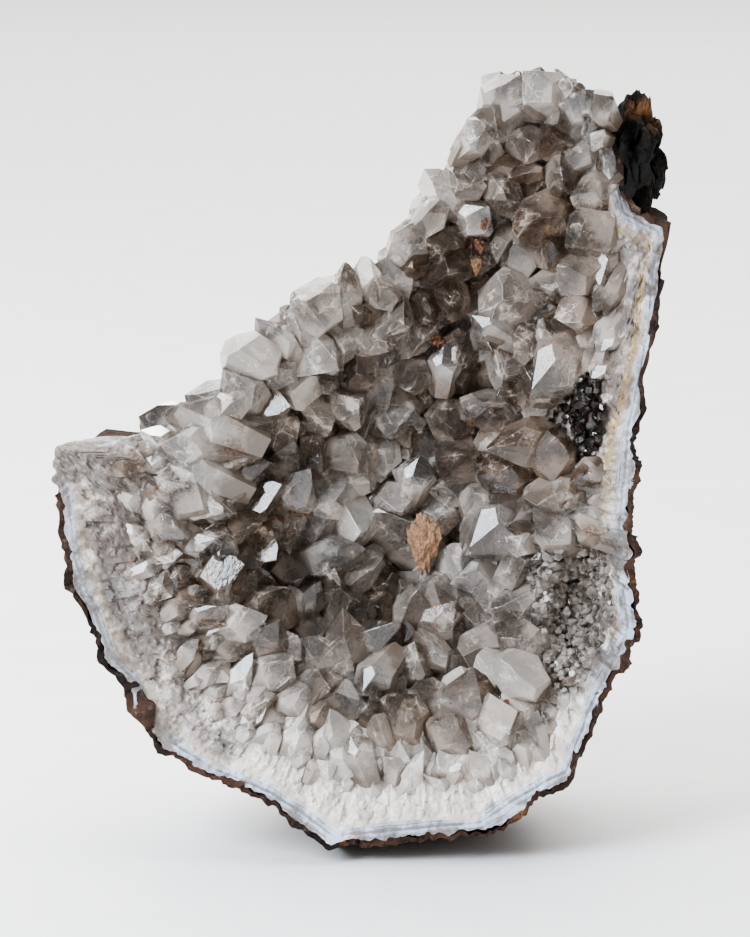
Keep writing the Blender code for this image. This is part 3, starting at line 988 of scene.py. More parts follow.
@dataclass
class CrystalPatterns:
    """The stock of modelled crystals."""

    shaft: float = 1.2
    root: float = 1.0
    root_taper: float = 0.32
    face_slope: float = 52.0
    worn_edge: float = 0.013
    variants: int = 12
    seed: int = 5
    inequalities: tuple = (0.0, 0.08, 0.18, 0.26)
    spare_length: float = 2.2
    slope_spread: float = 2.5
    cut_spread: tuple = (-0.20, 0.12)
    break_lean: float = 0.7
    break_spread: tuple = (-0.4, 0.3)
    worn_share: float = 0.75
    pointed: list = field(default_factory=list)
    broken: list = field(default_factory=list)
    regular: CrystalPattern | None = None

    def build(self) -> "CrystalPatterns":
        """Models every variant.

        Returns:
            The filled stock.
        """
        dice = random.Random(self.seed)
        for _ in range(self.variants):
            self.pointed.append(self.model(Termination.POINTED, dice))
        self.regular = self.model(Termination.POINTED, dice, 0.0)
        for _ in range(self.variants // 2):
            self.broken.append(self.model(Termination.BROKEN, dice))
        return self

    def model(self, ending: Termination, dice: random.Random, unequal: float | None = None) -> CrystalPattern:
        """Models one crystal as by hand: a six-sided prism cut down by its end faces.

        Args:
            ending: whether it ends in a point or is broken off.
            dice: source of the small differences.
            unequal: how far three end faces are cut back more than the others, or None for a thrown value.

        Returns:
            The crystal's points and faces.
        """
        deselect_all()
        unequal = dice.choice(self.inequalities) if unequal is None else unequal
        length = self.root + self.shaft + self.spare_length
        middle = length / 2 - self.root
        bpy.ops.mesh.primitive_cylinder_add(vertices=6, radius=1.0, depth=length, location=(0, 0, middle))
        crystal = bpy.context.object
        bpy.ops.object.mode_set(mode="EDIT")
        if ending is Termination.POINTED:
            for side in range(6):
                facing = math.radians(30 + 60 * side)
                slope = math.radians(self.face_slope + dice.uniform(-self.slope_spread, self.slope_spread))
                flat = math.sin(slope)
                normal = Vector((math.cos(facing) * flat, math.sin(facing) * flat, math.cos(slope)))
                major = 0.0 if side % 2 else unequal
                distance = self.shaft * math.cos(slope) + math.cos(math.radians(30)) * math.sin(slope)
                self.cut(normal, distance - major + dice.uniform(*self.cut_spread))
        else:
            for _ in range(3):
                across, beside = (dice.uniform(-self.break_lean, self.break_lean) for _ in range(2))
                normal = Vector((across, beside, 1.0)).normalized()
                self.cut(normal, self.shaft + dice.uniform(*self.break_spread))
        bpy.ops.mesh.select_all(action="SELECT")
        bpy.ops.mesh.bevel(offset=self.worn_edge, segments=1)
        bpy.ops.object.mode_set(mode="OBJECT")
        points = tuple(self.tapered(crystal.matrix_world @ vert.co) for vert in crystal.data.vertices)
        faces = tuple(tuple(face.vertices) for face in crystal.data.polygons)
        worn_and_highlit = tuple(self.is_worn_edge(face, crystal.data) for face in crystal.data.polygons)
        top = max(point.z for point in points)
        bpy.data.objects.remove(crystal, do_unlink=True)
        return CrystalPattern(points, faces, worn_and_highlit, top)

    def tapered(self, point: Vector) -> Vector:
        """Draws the buried end of a crystal in, as where it grew from the wall."""
        share = 1.0 - self.root_taper * ramp(-point.z, 0.0, self.root)
        return Vector((point.x * share, point.y * share, point.z))

    def is_worn_edge(self, face: bpy.types.MeshPolygon, mesh: bpy.types.Mesh) -> bool:
        """Whether a face is one of the narrow ones along a crystal's edges.

        Args:
            face: the face.
            mesh: the crystal's mesh.

        Returns:
            True for a narrow one.
        """
        corners = [mesh.vertices[number].co for number in face.vertices]
        around = sum((corners[number] - corners[number - 1]).length for number in range(len(corners)))
        return face.area / around < self.worn_edge * self.worn_share

    def cut(self, normal: Vector, distance: float) -> None:
        """Cuts away what lies beyond a plane and closes the cut."""
        bpy.ops.mesh.select_all(action="SELECT")
        bpy.ops.mesh.bisect(plane_co=normal * distance, plane_no=normal, use_fill=True, clear_outer=True)


PATTERNS = CrystalPatterns()


@dataclass
class Cluster:
    """Many crystals joined in one piece."""

    name: str
    points: list = field(default_factory=list)
    faces: list = field(default_factory=list)
    tints: list = field(default_factory=list)
    milks: list = field(default_factory=list)
    heights: list = field(default_factory=list)
    facets: list = field(default_factory=list)
    plain_facets: float = 0.85
    dice: random.Random = field(default_factory=lambda: random.Random(8))

    def add(self, pattern: CrystalPattern, matrix: Matrix, tint: float, milk: float) -> None:
        """Adds one copy of a modelled crystal.

        Args:
            pattern: the modelled crystal.
            matrix: where and how it stands.
            tint: its smokiness, 0 to 1.
            milk: its cloudiness, 0 to 1.
        """
        first = len(self.points)
        self.points.extend(matrix @ point for point in pattern.points)
        self.faces.extend(tuple(first + corner for corner in face) for face in pattern.faces)
        self.tints.extend([clamp(tint)] * len(pattern.points))
        self.milks.extend([clamp(milk)] * len(pattern.points))
        self.heights.extend(clamp(point.z / pattern.top) for point in pattern.points)
        plain = self.plain_facets
        # the narrow edge faces get the top value, which the finish paints pale, partly as wear and partly as
        # a highlight
        self.facets.extend(1.0 if worn_and_highlit else self.dice.uniform(0.0, plain) for worn_and_highlit in pattern.worn_and_highlit)

    def finish(self, material: bpy.types.Material) -> bpy.types.Object:
        """Makes the piece and gives it its material.

        Args:
            material: the piece's material.

        Returns:
            The finished piece.
        """
        mesh = bpy.data.meshes.new(self.name)
        mesh.from_pydata([point + SHAPE.axis for point in self.points], [], self.faces)
        piece = bpy.data.objects.new(self.name, mesh)
        bpy.context.scene.collection.objects.link(piece)
        store(piece, "tint", self.tints)
        store(piece, "milk", self.milks)
        store(piece, "height", self.heights)
        mesh.attributes.new("facet", "FLOAT", "FACE").data.foreach_set("value", self.facets)
        outward_faces(piece)
        mesh.materials.append(material)
        return piece


def standing(
    place: Vector, axis: Vector, radius: float, stretch: float, roll: float, flat: float = 1.0
) -> Matrix:
    """The matrix that stands a modelled crystal on a place along an axis.

    Args:
        place: where the crystal's foot stands.
        axis: the way its tip points.
        radius: its radius.
        stretch: its length, as a share of the pattern's.
        roll: its turn about the axis, in radians.
        flat: its thickness, as a share of its width.

    Returns:
        The matrix for the pattern's points.
    """
    turn = axis.normalized().to_track_quat("Z", "Y").to_matrix().to_4x4()
    size = Matrix.Diagonal((radius / math.sqrt(flat), radius * math.sqrt(flat), radius * stretch, 1.0))
    return Matrix.Translation(place) @ turn @ Matrix.Rotation(roll, 4, "Z") @ size


class Spots:
    """Remembers where crystals stand, in cells, so that room for the next is found quickly."""

    def __init__(self, cell: float = 24 * MM) -> None:
        """Starts empty, with cells wider than the largest distance asked for."""
        self.cell = cell
        self.cells: dict = {}

    def key(self, place: Vector) -> tuple[int, int, int]:
        """The cell a place lies in."""
        return tuple(math.floor(number / self.cell) for number in place)

    def take(self, place: Vector, radius: float) -> None:
        """Notes a crystal."""
        self.cells.setdefault(self.key(place), []).append((place.copy(), radius))

    def is_free(self, place: Vector, radius: float, spacing: float) -> bool:
        """Whether a crystal has room at a place; spacing is the least distance in summed radii.

        Args:
            place: the point, counted from the axis.
            radius: the crystal's radius.
            spacing: least distance to other crystals, in summed radii.

        Returns:
            True where there is room.
        """
        right, back, up = self.key(place)
        for across in (right - 1, right, right + 1):
            for deep in (back - 1, back, back + 1):
                for high in (up - 1, up, up + 1):
                    for other, other_radius in self.cells.get((across, deep, high), ()):
                        if (place - other).length < spacing * (radius + other_radius):
                            return False
        return True


def ride_and_replace(piece: bpy.types.Object, node: str) -> None:
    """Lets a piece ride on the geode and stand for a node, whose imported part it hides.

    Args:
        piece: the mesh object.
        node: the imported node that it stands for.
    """
    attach(piece, ROOT)
    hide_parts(node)
    LOG.info("%s: %d faces", piece.name, len(piece.data.polygons))


@dataclass
class RockRind:
    """The host rock's skin behind and under the quartz, and its rugged lobe."""

    directions: int = 560
    rings: int = 64
    hidden_rings: int = 14
    chip_size: float = 11 * MM
    chip_relief: float = 1.7 * MM
    pit_size: float = 3.6 * MM
    pit_relief: float = 0.7 * MM
    bare_step: float = 0.08
    corner_step: float = 0.22
    foot_flatness: float = 9 * MM
    lobe_centre: tuple = (88.5 * MM, 136 * MM, 21 * MM)
    lobe_half_size: tuple = (10.5 * MM, 20 * MM, 21 * MM)
    lobe_lit_top: tuple = (0.262, 0.278)
    lobe_place: Vector = Vector((2.0, 8.0, 4.0)).freeze()
    corner: tuple = (164.0, 7.0)
    notch_depth: float = 7 * MM
    notch_at: tuple = (-147.0, 3.5)
    edge_part: tuple = (0.88, 1.0)
    uneven_waves: tuple = ((0.85, 11.0), (0.5, 38.0))
    thinnest: float = 0.25
    edge_relief: float = 1.2

    def relief(self, point: Vector) -> float:
        """The broken, pitted surface of the rock at a point."""
        chipped = chips(point / self.chip_size, 1.0) * self.chip_relief
        return chipped + noise.noise(point / self.pit_size) * self.pit_relief

    def build(self) -> None:
        """Makes and dresses the skin and the lobe."""
        rings = self.rings + 1 + self.hidden_rings
        skin = shaped_sphere("rock_skin", self.directions, rings, self.skin_place)
        for vert in skin.data.vertices:
            vert.co.z = max(0.0, vert.co.z)
        skin.data.materials.append(RockFinish().make("brown_rock", 0.0))
        ride_and_replace(skin, ROCK_NODE)
        lobe = self.lobe()
        # how far up the lobe's painted lit top reaches
        store(lobe, "lit_top", [ramp(vert.co.z, *self.lobe_lit_top) for vert in lobe.data.vertices])
        black = RockFinish(
            dark=(0.006, 0.005, 0.004), brown=(0.016, 0.011, 0.008), rust=(0.14, 0.06, 0.02),
            dust=(0.06, 0.045, 0.03),
        )
        lobe.data.materials.append(black.make("black_rock", 0.5))
        ride_and_replace(lobe, ROCK_NODE)

    def skin_place(self, ring: int, angle: float) -> Vector:
        """A point of the skin's outer side, edge or hidden side.

        Args:
            ring: the ring's number, counted from the back.
            angle: direction round the axis, in radians.

        Returns:
            The point, counted from the axis.
        """
        corner = bump_at(math.degrees(angle), *self.corner)
        cover = SHAPE.rind_cover(angle) - self.bare_step * SHAPE.bareness(angle) - self.corner_step * corner
        hidden = ring > self.rings
        along = ring / self.rings * cover
        if hidden:
            along = (self.rings + 1 + self.hidden_rings - ring) / self.hidden_rings * cover
        turned = Vector((math.cos(angle), math.sin(angle), 0.0))
        uneven = sum(height * noise.noise(turned * fine) for height, fine in self.uneven_waves)
        at_edge = ramp(along, *self.edge_part)
        share = max(self.thinnest, 1.0 + uneven * (0.3 + 0.7 * at_edge))
        thickness = SHAPE.rind_thickness(along) * share + self.notch(angle)
        point, away = SHAPE.skin(angle, along, thickness if hidden else 0.0)
        point += turned.xzy * SHAPE.ragged(angle) * at_edge
        if ring in (self.rings, self.rings + 1):
            point += Vector((0.0, self.relief(point) * self.edge_relief, 0.0))
        if hidden:
            return point
        near_foot = ramp(point.z + SHAPE.axis.z, 0.0, self.foot_flatness)
        return point + away * self.relief(point) * near_foot

    def notch(self, angle: float) -> float:
        """The extra rock in the dark notch at the lower left."""
        return self.notch_depth * bump_at(math.degrees(angle), *self.notch_at)

    def lobe(self) -> bpy.types.Object:
        """The black-brown lobe behind the top right of the rim.

        Returns:
            The lobe.
        """
        deselect_all()
        bpy.ops.mesh.primitive_ico_sphere_add(subdivisions=6, radius=1.0)
        piece = bpy.context.object
        piece.name = "rock_lobe"
        half_right, half_up, half_deep = self.lobe_half_size
        centre = Vector((self.lobe_centre[0], self.lobe_centre[2], self.lobe_centre[1])) + SHAPE.axis
        for vert in piece.data.vertices:
            rugged = 1.0 + 0.45 * noise.noise(vert.co * 2.1 + self.lobe_place)
            rugged += 0.16 * chips(vert.co * 3.2, 4.0) + 0.05 * noise.noise(vert.co * 11.0)
            offset = Vector((vert.co.x * half_right, vert.co.y * half_deep, vert.co.z * half_up))
            vert.co = centre + offset * rugged
        return piece


@dataclass(eq=False)
class QuartzBody:
    """The massive quartz: chalcedony band, columnar broken face, and the wall under the crystals."""

    directions: int = 760
    skin_rings: int = 6
    face_rings: int = 60
    wall_rings: int = 26
    bare_sink: float = 6.5 * MM
    above_foot: float = 0.6 * MM
    column_bed: float = 3.5 * MM
    column_width: float = 4.5 * MM
    column_length: float = 13 * MM
    column_relief: float = 1.5 * MM
    chip_size: float = 3.4 * MM
    chip_relief: float = 1.0 * MM
    edge_scallop: float = 3.5 * MM
    # sides painted darker, partly smoky tone and partly painted shade; the bottom of the rim is left pale
    smoke_and_shade_sides: tuple = ((55, 22, 0.95), (15, 26, 0.9), (-22, 20, 0.65), (165, 24, 1.0), (-156, 24, 1.0))
    smoke_and_shade_part: tuple = (6 * MM, 16 * MM)
    wall_part: tuple = (9 * MM, 1 * MM)
    broken_part: tuple = (0.1, 0.5)
    broken_corner: tuple = (164.0, 12.0)
    sunk_corner: tuple = (163.0, 10.0)
    rust_depth: float = 2.5 * MM
    rust_spots: tuple = ((178.0, 3.0), (-146.0, 5.0), (-100.0, 3.0))
    ochre_lines: tuple = ((1.9, 32.0, 22.0, 11.5 * MM, 1.8 * MM), (0.35, -160.0, 25.0, 9 * MM, 2.0 * MM))
    wall_chip_size: float = 7 * MM
    wall_chip_relief: float = 1.2 * MM
    face_lump_size: float = 9 * MM
    face_lump_relief: float = 0.4 * MM
    crystalline_part: tuple = (6 * MM, 11 * MM)
    scallops_round: float = 13.0
    full_cover: float = 0.985

    def build(self) -> None:
        """Makes the body and stores where each point lies for its material."""
        rings = self.skin_rings + self.face_rings + self.wall_rings
        body = shaped_sphere("quartz_body", self.directions, rings, self.place)
        stored = {"grain": [], "edge": [], "wall": [], "ochre": [], "rust": [], "smoke_and_shade": []}
        for vert in body.data.vertices:
            vert.co.z = max(vert.co.z, self.above_foot)
            local = vert.co - SHAPE.axis
            angle = math.atan2(local.z, local.x)
            reach = math.hypot(local.x, local.z)
            outer_reach = SHAPE.edge_at(True, round(angle, 3))[0]
            inner_reach = SHAPE.edge_at(False, round(angle, 3))[0]
            from_rind = self.from_rind(local, angle, reach, outer_reach)
            degrees = math.degrees(angle)
            far, near = self.wall_part
            inside = 1.0 - ramp(reach, inner_reach - far, inner_reach - near)
            broken_off = ramp(SHAPE.bareness(round(angle, 3)), *self.broken_part)
            broken_off *= 1.0 - bump_at(degrees, *self.broken_corner)
            stored["grain"].append(self.grain(angle, reach))
            stored["edge"].append(from_rind / MM)
            stored["wall"].append(max(inside, broken_off) * (1.0 - ridge_share(local)))
            stored["ochre"].append(self.ochre(degrees, from_rind))
            stored["rust"].append(self.rust(degrees, from_rind))
            stored["smoke_and_shade"].append(self.smoke_and_shade(degrees, from_rind))
        for name, values in stored.items():
            store(body, name, values)
        body.data.materials.append(BodyFinish().make())
        ride_and_replace(body, QUARTZ_NODE)

    def sunk(self, angle: float) -> float:
        """How far the body lies back under the crystals of the broken edge."""
        corner = bump_at(math.degrees(angle), *self.sunk_corner)
        return SHAPE.bareness(angle) * self.bare_sink * (1.0 - 0.8 * corner)

    def from_rind(self, local: Vector, angle: float, reach: float, outer_reach: float) -> float:
        """How far a point lies from the rind, over the edge where the top left broke off.

        Args:
            local: the point, counted from the axis.
            angle: direction round the axis, in radians.
            reach: distance from the axis.
            outer_reach: the outer edge's distance from the axis there.

        Returns:
            The distance.
        """
        cover = SHAPE.rind_cover(round(angle, 3))
        if cover > self.full_cover:
            return outer_reach - reach
        depth_of_rind = SHAPE.skin(angle, cover, 0.0)[0].y
        return max(0.0, depth_of_rind - local.y) + 0.5 * max(0.0, outer_reach - reach)

    def grain(self, angle: float, reach: float) -> Vector:
        """Coordinates in which one unit is a column's width round the rim and its length across."""
        around = 0.1 / self.column_width
        return Vector((math.cos(angle) * around, math.sin(angle) * around, reach / self.column_length))

    def ochre(self, degrees: float, from_rind: float) -> float:
        """The yellow line in the right rim and faint yellow along the other bands.

        Args:
            degrees: direction round the axis, in degrees.
            from_rind: distance from the rind.

        Returns:
            The yellow's strength, 0 to 1.
        """
        return clamp(sum(
            strength * bump_at(degrees, middle, spread) * math.exp(-(((from_rind - deep) / wide) ** 2))
            for strength, middle, spread, deep, wide in self.ochre_lines
        ))

    def smoke_and_shade(self, degrees: float, from_rind: float) -> float:
        """How smoky and shaded the broken face is, partly its own smoky tone and partly painted shade: most
        at the right, at the top and at the upper left, least at the bottom.
        """
        sides = sum(share * bump_at(degrees, middle, spread) for middle, spread, share in self.smoke_and_shade_sides)
        return clamp(sides * (0.45 + 0.55 * ramp(from_rind, *self.smoke_and_shade_part)))

    def rust(self, degrees: float, from_rind: float) -> float:
        """Rust that seeps in from the rind.

        Args:
            degrees: direction round the axis, in degrees.
            from_rind: distance from the rind.

        Returns:
            The rust's strength, 0 to 1.
        """
        seep = math.exp(-from_rind / self.rust_depth)
        spots = sum(bump_at(degrees, *spot) for spot in self.rust_spots)
        return clamp(seep * (0.35 + spots))

    def place(self, ring: int, angle: float) -> Vector:
        """A point of the skin side, the broken face or the wall.

        Args:
            ring: the ring's number, counted from the back.
            angle: direction round the axis, in radians.

        Returns:
            The point, counted from the axis.
        """
        if ring < self.skin_rings:
            along = ring / self.skin_rings * SHAPE.rind_cover(angle)
            sunk = self.sunk(angle) * ramp(along, 0.4, 0.66)
            return SHAPE.skin(angle, along, SHAPE.rind_thickness(along) * 0.8 + sunk)[0]
        if ring <= self.skin_rings + self.face_rings:
            return self.face(angle, (ring - self.skin_rings) / self.face_rings)
        outward = (self.skin_rings + self.face_rings + self.wall_rings - ring) / self.wall_rings
        point = SHAPE.cavity(angle, outward)
        lumpy = chips(point / self.wall_chip_size, 3.0) * self.wall_chip_relief
        joined = 1.0 - outward**6
        return point + Vector((0.0, -lumpy * joined, 0.0)) + self.scallop(angle) * (1.0 - joined)

    @lru_cache(maxsize=None)
    def scallop(self, angle: float) -> Vector:
        """How far the broken face's inner edge stands from the smooth form's."""
        return (self.face(angle, 1.0) - SHAPE.inner_edge(angle)).freeze()

    def face(self, angle: float, across: float) -> Vector:
        """A point of the broken face with its columns, chips and scalloped inner edge.

        Args:
            angle: direction round the axis, in radians.
            across: way across the broken face, 0 at the rind and 1 at the cavity.

        Returns:
            The point, counted from the axis.
        """
        point = SHAPE.rim(angle, across)
        side_share = SHAPE.break_side_share * (1.0 - SHAPE.rind_cover(angle))
        reach = math.hypot(point.x, point.z)
        outward = Vector((point.x, 0.0, point.z)) / reach
        front = ramp(across, side_share - 0.05, side_share + 0.05) if side_share else 1.0
        facing = (outward * (1.0 - front) + Vector((0.0, -1.0, 0.0)) * front).normalized()
        from_edge = SHAPE.rim_width(angle) * across
        crystalline = ramp(from_edge, *self.crystalline_part) if front > 0.5 else 0.8
        columns = chips(self.grain(angle, reach), 2.0) * self.column_relief
        fine = chips(point / self.chip_size, 6.0) * self.chip_relief
        smooth = noise.noise(point / self.face_lump_size) * self.face_lump_relief
        turned = Vector((math.cos(angle), math.sin(angle), 0.3))
        scallop = noise.noise(turned * self.scallops_round) * self.edge_scallop
        inner = ramp(across, 0.5, 1.0) * min(1.0, SHAPE.rim_width(angle) / SHAPE.wide_rim)
        fade = min(1.0, (1.0 - across) * 8 + 0.3)
        point += facing * ((columns + fine) * crystalline * fade + smooth) - outward * scallop * inner
        point += facing * -self.column_bed * ramp(across, 0.35, 0.6) * (1.0 - ramp(across, 0.9, 1.0)) * front
        sunk = self.sunk(angle) * (1.0 - ramp(across, 0.8, 1.0))
        point.y += SHAPE.recess(angle, across)
        return point + outward * (SHAPE.ragged(angle) * (1.0 - across) * front - sunk)


@dataclass(frozen=True)
class Landmark:
    """A crystal that stands out: place from the axis and radius in mm, lean in degrees, tint and milk."""

    right: float
    up: float
    radius: float
    lean_right: float
    lean_up: float
    tint: float = 0.4
    milk: float = 0.1


@dataclass(frozen=True)
class Glint:
    """A crystal turned so that one end face catches the window light: place, radius and way of its tip."""

    right: float
    up: float
    radius: float
    tip_degrees: float
    lift: float = 11.0


@dataclass(frozen=True)
class Light:
    """A soft rectangular studio light."""

    name: str
    place: tuple
    size: tuple
    watts: float
    colour: Colour


KEY_LIGHT = Light("window", (-1.05, -0.85, 1.10), (0.8, 1.0), 46.0, (0.82, 0.90, 1.0))
CAMERA_ELEVATION = 12.0


@dataclass
class Druse:
    """The free crystals: landmarks, those that catch the light, and smaller ones in all the spaces."""

    seed: int = 21
    landmarks: tuple = (
        Landmark(-32, 83, 11.5, -22, 22, 0.15, 0.05), Landmark(-55, 62, 11.5, -24, 20, 0.1, 0.5),
        Landmark(-39, 50, 9, -12, 10, 0.1, 0.7), Landmark(-66, 45, 8.5, -22, 18, 0.2, 0.35),
        Landmark(-15, 56, 9.5, -14, 8, 0.85, 0.0), Landmark(-8, 86, 8.5, -18, 22, 0.25, 0.15),
        Landmark(41, 81, 13.5, 6, 4, 0.3, 0.45), Landmark(41, 59, 10.5, 8, -6, 0.4, 0.35),
        Landmark(15, 106, 8.5, 10, 0, 0.95, 0.0), Landmark(4, 98, 8, -14, 12, 0.8, 0.05),
        Landmark(-7, 20, 8.5, -8, 16, 0.2, 0.3), Landmark(-21, -42, 12.5, -8, 6, 0.5, 0.05),
        Landmark(-50, -55, 10, 26, 14, 0.15, 0.3), Landmark(-42, -64, 8.5, 18, 20, 0.15, 0.35),
        Landmark(25, -64, 9, -4, 24, 0.1, 0.85), Landmark(38, -58, 9.5, -16, 14, 0.1, 0.8),
        Landmark(46, -66, 8, -18, 22, 0.1, 0.75), Landmark(-27, 6, 11.5, -4, 4, 0.2, 0.25),
        Landmark(-19, 12, 9, 8, 12, 0.3, 0.2), Landmark(-33, -4, 9, -14, -6, 0.35, 0.2),
        Landmark(-70, 26, 9.5, 20, -4, 0.4, 0.2), Landmark(-72, 6, 8, 26, 4, 0.5, 0.2),
        Landmark(-62, -16, 8.5, 26, 2, 0.55, 0.1), Landmark(-64, -36, 9, 26, 12, 0.2, 0.4),
        Landmark(34, 155, 8, -14, 0, 0.3, 0.2), Landmark(48, 157, 7.5, -2, 0, 0.35, 0.2),
        Landmark(60, 152, 7, 6, 0, 0.4, 0.2), Landmark(28, 142, 8.5, -22, 10, 0.25, 0.3),
        Landmark(24, 128, 8.5, -20, 8, 0.3, 0.3), Landmark(12, 119, 8, -20, 12, 0.2, 0.35),
        Landmark(48, 142, 9, 2, 4, 0.4, 0.2), Landmark(60, 132, 8.5, 12, -2, 0.5, 0.2),
        Landmark(38, 124, 9.5, 0, 0, 0.45, 0.2), Landmark(50, 108, 9, 8, -4, 0.45, 0.2),
        Landmark(58, 90, 9, 16, -6, 0.5, 0.15), Landmark(30, 100, 8.5, -8, 8, 0.55, 0.1),
        Landmark(18, 84, 9.5, -4, 4, 0.6, 0.1), Landmark(22, 64, 9, 0, -4, 0.75, 0.05),
        Landmark(4, 68, 9, 2, 8, 0.45, 0.15), Landmark(57, 68, 8.5, 22, 0, 0.55, 0.1),
        Landmark(-2, 38, 9.5, -2, 2, 0.3, 0.2), Landmark(18, 36, 10, 8, -2, 0.55, 0.1),
        Landmark(45, 34, 9, 20, 0, 0.7, 0.0), Landmark(-50, 34, 10, 10, -8, 0.65, 0.05),
        Landmark(-36, 24, 9, 8, -8, 0.7, 0.0), Landmark(-46, -22, 9, 16, 2, 0.6, 0.05),
        Landmark(4, -18, 10, -2, 6, 0.6, 0.05), Landmark(-6, -30, 9, 4, 10, 0.65, 0.05),
        Landmark(16, -36, 10.5, -6, 12, 0.45, 0.15), Landmark(38, -30, 9.5, -18, 4, 0.35, 0.25),
        Landmark(48, -8, 9, -22, -2, 0.4, 0.3), Landmark(-38, -34, 9, 12, 14, 0.55, 0.05),
        Landmark(2, -52, 9.5, -4, 22, 0.75, 0.0), Landmark(-24, -60, 8.5, 6, 24, 0.4, 0.2),
        Landmark(20, 8, 9, 4, 6, 0.35, 0.2), Landmark(36, 16, 9, 10, 2, 0.5, 0.1),
    )
    glints: tuple = (
        Glint(-20, 53, 7.5, -30.0, 6.0), Glint(-4, 60, 6.5, -55.0), Glint(17, 66, 7.0, 75.0),
        Glint(26, 78, 8.0, 150.0), Glint(33, 119, 9.0, 5.0), Glint(25, -12, 16.0, -118.0, 25.0),
        Glint(8, 22, 8.0, 60.0),
        Glint(-69, -10, 6.0, -80.0), Glint(-43, -25, 5.0, 100.0), Glint(-15, -61, 9.0, -100.0, 18.0),
        Glint(-19, -72, 7.0, 110.0), Glint(-10, 6, 5.0, 40.0, 5.0), Glint(6, 6, 5.0, 20.0, 5.0),
    )
    sizes: tuple = (
        (8.5, 12.5, 2500, 0.52), (5.5, 7.5, 3000, 0.58), (3.4, 5.0, 3000, 0.62), (1.9, 3.0, 3500, 0.66),
    )
    landmark_lift: float = -0.45
    # painted shade: crystals in these zones get a darker tint
    painted_shade_zones: tuple = (
        (-48, 32, 26), (52, 32, 18), (0, -58, 22), (-60, -12, 20), (24, 48, 18), (48, 122, 36), (18, 90, 30),
        (-10, -38, 16), (34, 150, 22), (44, 88, 18),
    )
    # painted light: crystals in these zones get a paler tint and more milk
    painted_light_zones: tuple = (
        (-14, 4, 32), (14, -20, 26), (-4, 62, 14), (-42, 62, 24), (28, 162, 12), (44, -60, 18), (2, 20, 20),
    )
    lean: float = 24.0
    landmark_lean: float = 1.5
    sunk: float = 0.7
    edge_sizes: tuple = (
        (8.0, 11.0, 500, 0.5), (5.5, 7.5, 1300, 0.46), (3.4, 5.0, 2200, 0.46), (2.2, 3.2, 2600, 0.48),
    )
    large_from: float = 4.0
    edge_width: float = 12 * MM
    edge_directions: tuple = (64.0, 171.0)
    edge_sunk: float = 2.0 * MM
    edge_pull: float = 14.0 * MM
    end_share: float = 0.8
    top_ends: float = 84.0
    top_outward: float = 0.3

    def build(self) -> None:
        """Places every crystal and makes the pieces by size."""
        dice = random.Random(self.seed)
        clear = CrystalFinish().make("clear_quartz", 0.10)
        large = Cluster("large_crystals")
        small = Cluster("small_crystals")
        taken = Spots()
        for mark in self.landmarks:
            self.stand_landmark(large, mark, dice, taken)
        for glint in self.glints:
            self.stand_glint(large, glint, dice, taken)
        for sizes, stand in ((self.edge_sizes, self.try_edge), (self.sizes, self.try_filler)):
            for low, high, tries, spacing in sizes:
                cluster = large if low > self.large_from else small
                for _ in range(tries):
                    stand(cluster, dice.uniform(low, high) * MM, spacing, dice, taken)
        for cluster in (large, small):
            ride_and_replace(cluster.finish(clear), QUARTZ_NODE)

    def axis_at(self, normal: Vector, lean_right: float, lean_up: float) -> Vector:
        """A crystal's axis from the wall's own direction and its lean in degrees."""
        lean = Vector((math.tan(math.radians(lean_right)), -0.15, math.tan(math.radians(lean_up))))
        return (normal + lean).normalized()

    def stand_landmark(self, cluster: Cluster, mark: Landmark, dice: random.Random, taken: Spots) -> None:
        """Stands one landmark crystal.

        Args:
            cluster: the piece that the crystal joins.
            mark: the crystal's place and look.
            dice: source of the random draws.
            taken: where crystals already stand.
        """
        place, normal = SHAPE.wall_under(mark.right * MM, mark.up * MM)
        radius = mark.radius * MM
        axis = self.axis_at(normal, mark.lean_right * self.landmark_lean, mark.lean_up * self.landmark_lean)
        raised = place + axis * radius * self.landmark_lift
        stretch, roll, flat = dice.uniform(0.95, 1.15), dice.uniform(0.0, math.tau), dice.uniform(0.65, 1.0)
        matrix = standing(raised, axis, radius, stretch, roll, flat)
        # painted shade and painted light by zone, on the crystal's tint and milk
        dark = self.zone(place, self.painted_shade_zones)
        bright = self.zone(place, self.painted_light_zones)
        tint = mark.tint + 0.3 * dark - 0.2 * bright
        cluster.add(dice.choice(PATTERNS.pointed), matrix, tint, mark.milk + 0.22 * bright)
        taken.take(place, radius)

    def stand_glint(self, cluster: Cluster, glint: Glint, dice: random.Random, taken: Spots) -> None:
        """Stands a crystal with one end face halfway between the camera and the window.

        Args:
            cluster: the piece that the crystal joins.
            glint: the crystal's place and the way of its tip.
            dice: not used.
            taken: where crystals already stand.
        """
        place, _ = SHAPE.wall_under(glint.right * MM, glint.up * MM)
        elevation = math.radians(CAMERA_ELEVATION)
        to_camera = Vector((0.0, -math.cos(elevation), math.sin(elevation)))
        to_light = (Vector(KEY_LIGHT.place) - SHAPE.axis - place).normalized()
        facing = (to_camera + to_light).normalized()
        turn = math.radians(glint.tip_degrees)
        screen = Vector((math.cos(turn), 0.0, math.sin(turn)))
        sideways = (screen - facing * screen.dot(facing)).normalized()
        slope = math.radians(PATTERNS.face_slope)
        axis = facing * math.cos(slope) + sideways * math.sin(slope)
        stand = axis.to_track_quat("Z", "Y").to_matrix().to_4x4()
        local = stand.inverted() @ facing
        roll = math.atan2(local.y, local.x) - math.radians(30)
        radius = glint.radius * MM
        lifted = place + Vector((0.0, -glint.lift * MM, 0.0)) - axis * radius * 2.0
        size = Matrix.Diagonal((radius, radius, radius, 1.0))
        matrix = Matrix.Translation(lifted) @ stand @ Matrix.Rotation(roll, 4, "Z") @ size
        cluster.add(PATTERNS.regular, matrix, 0.2, 0.0)
        taken.take(place, radius)

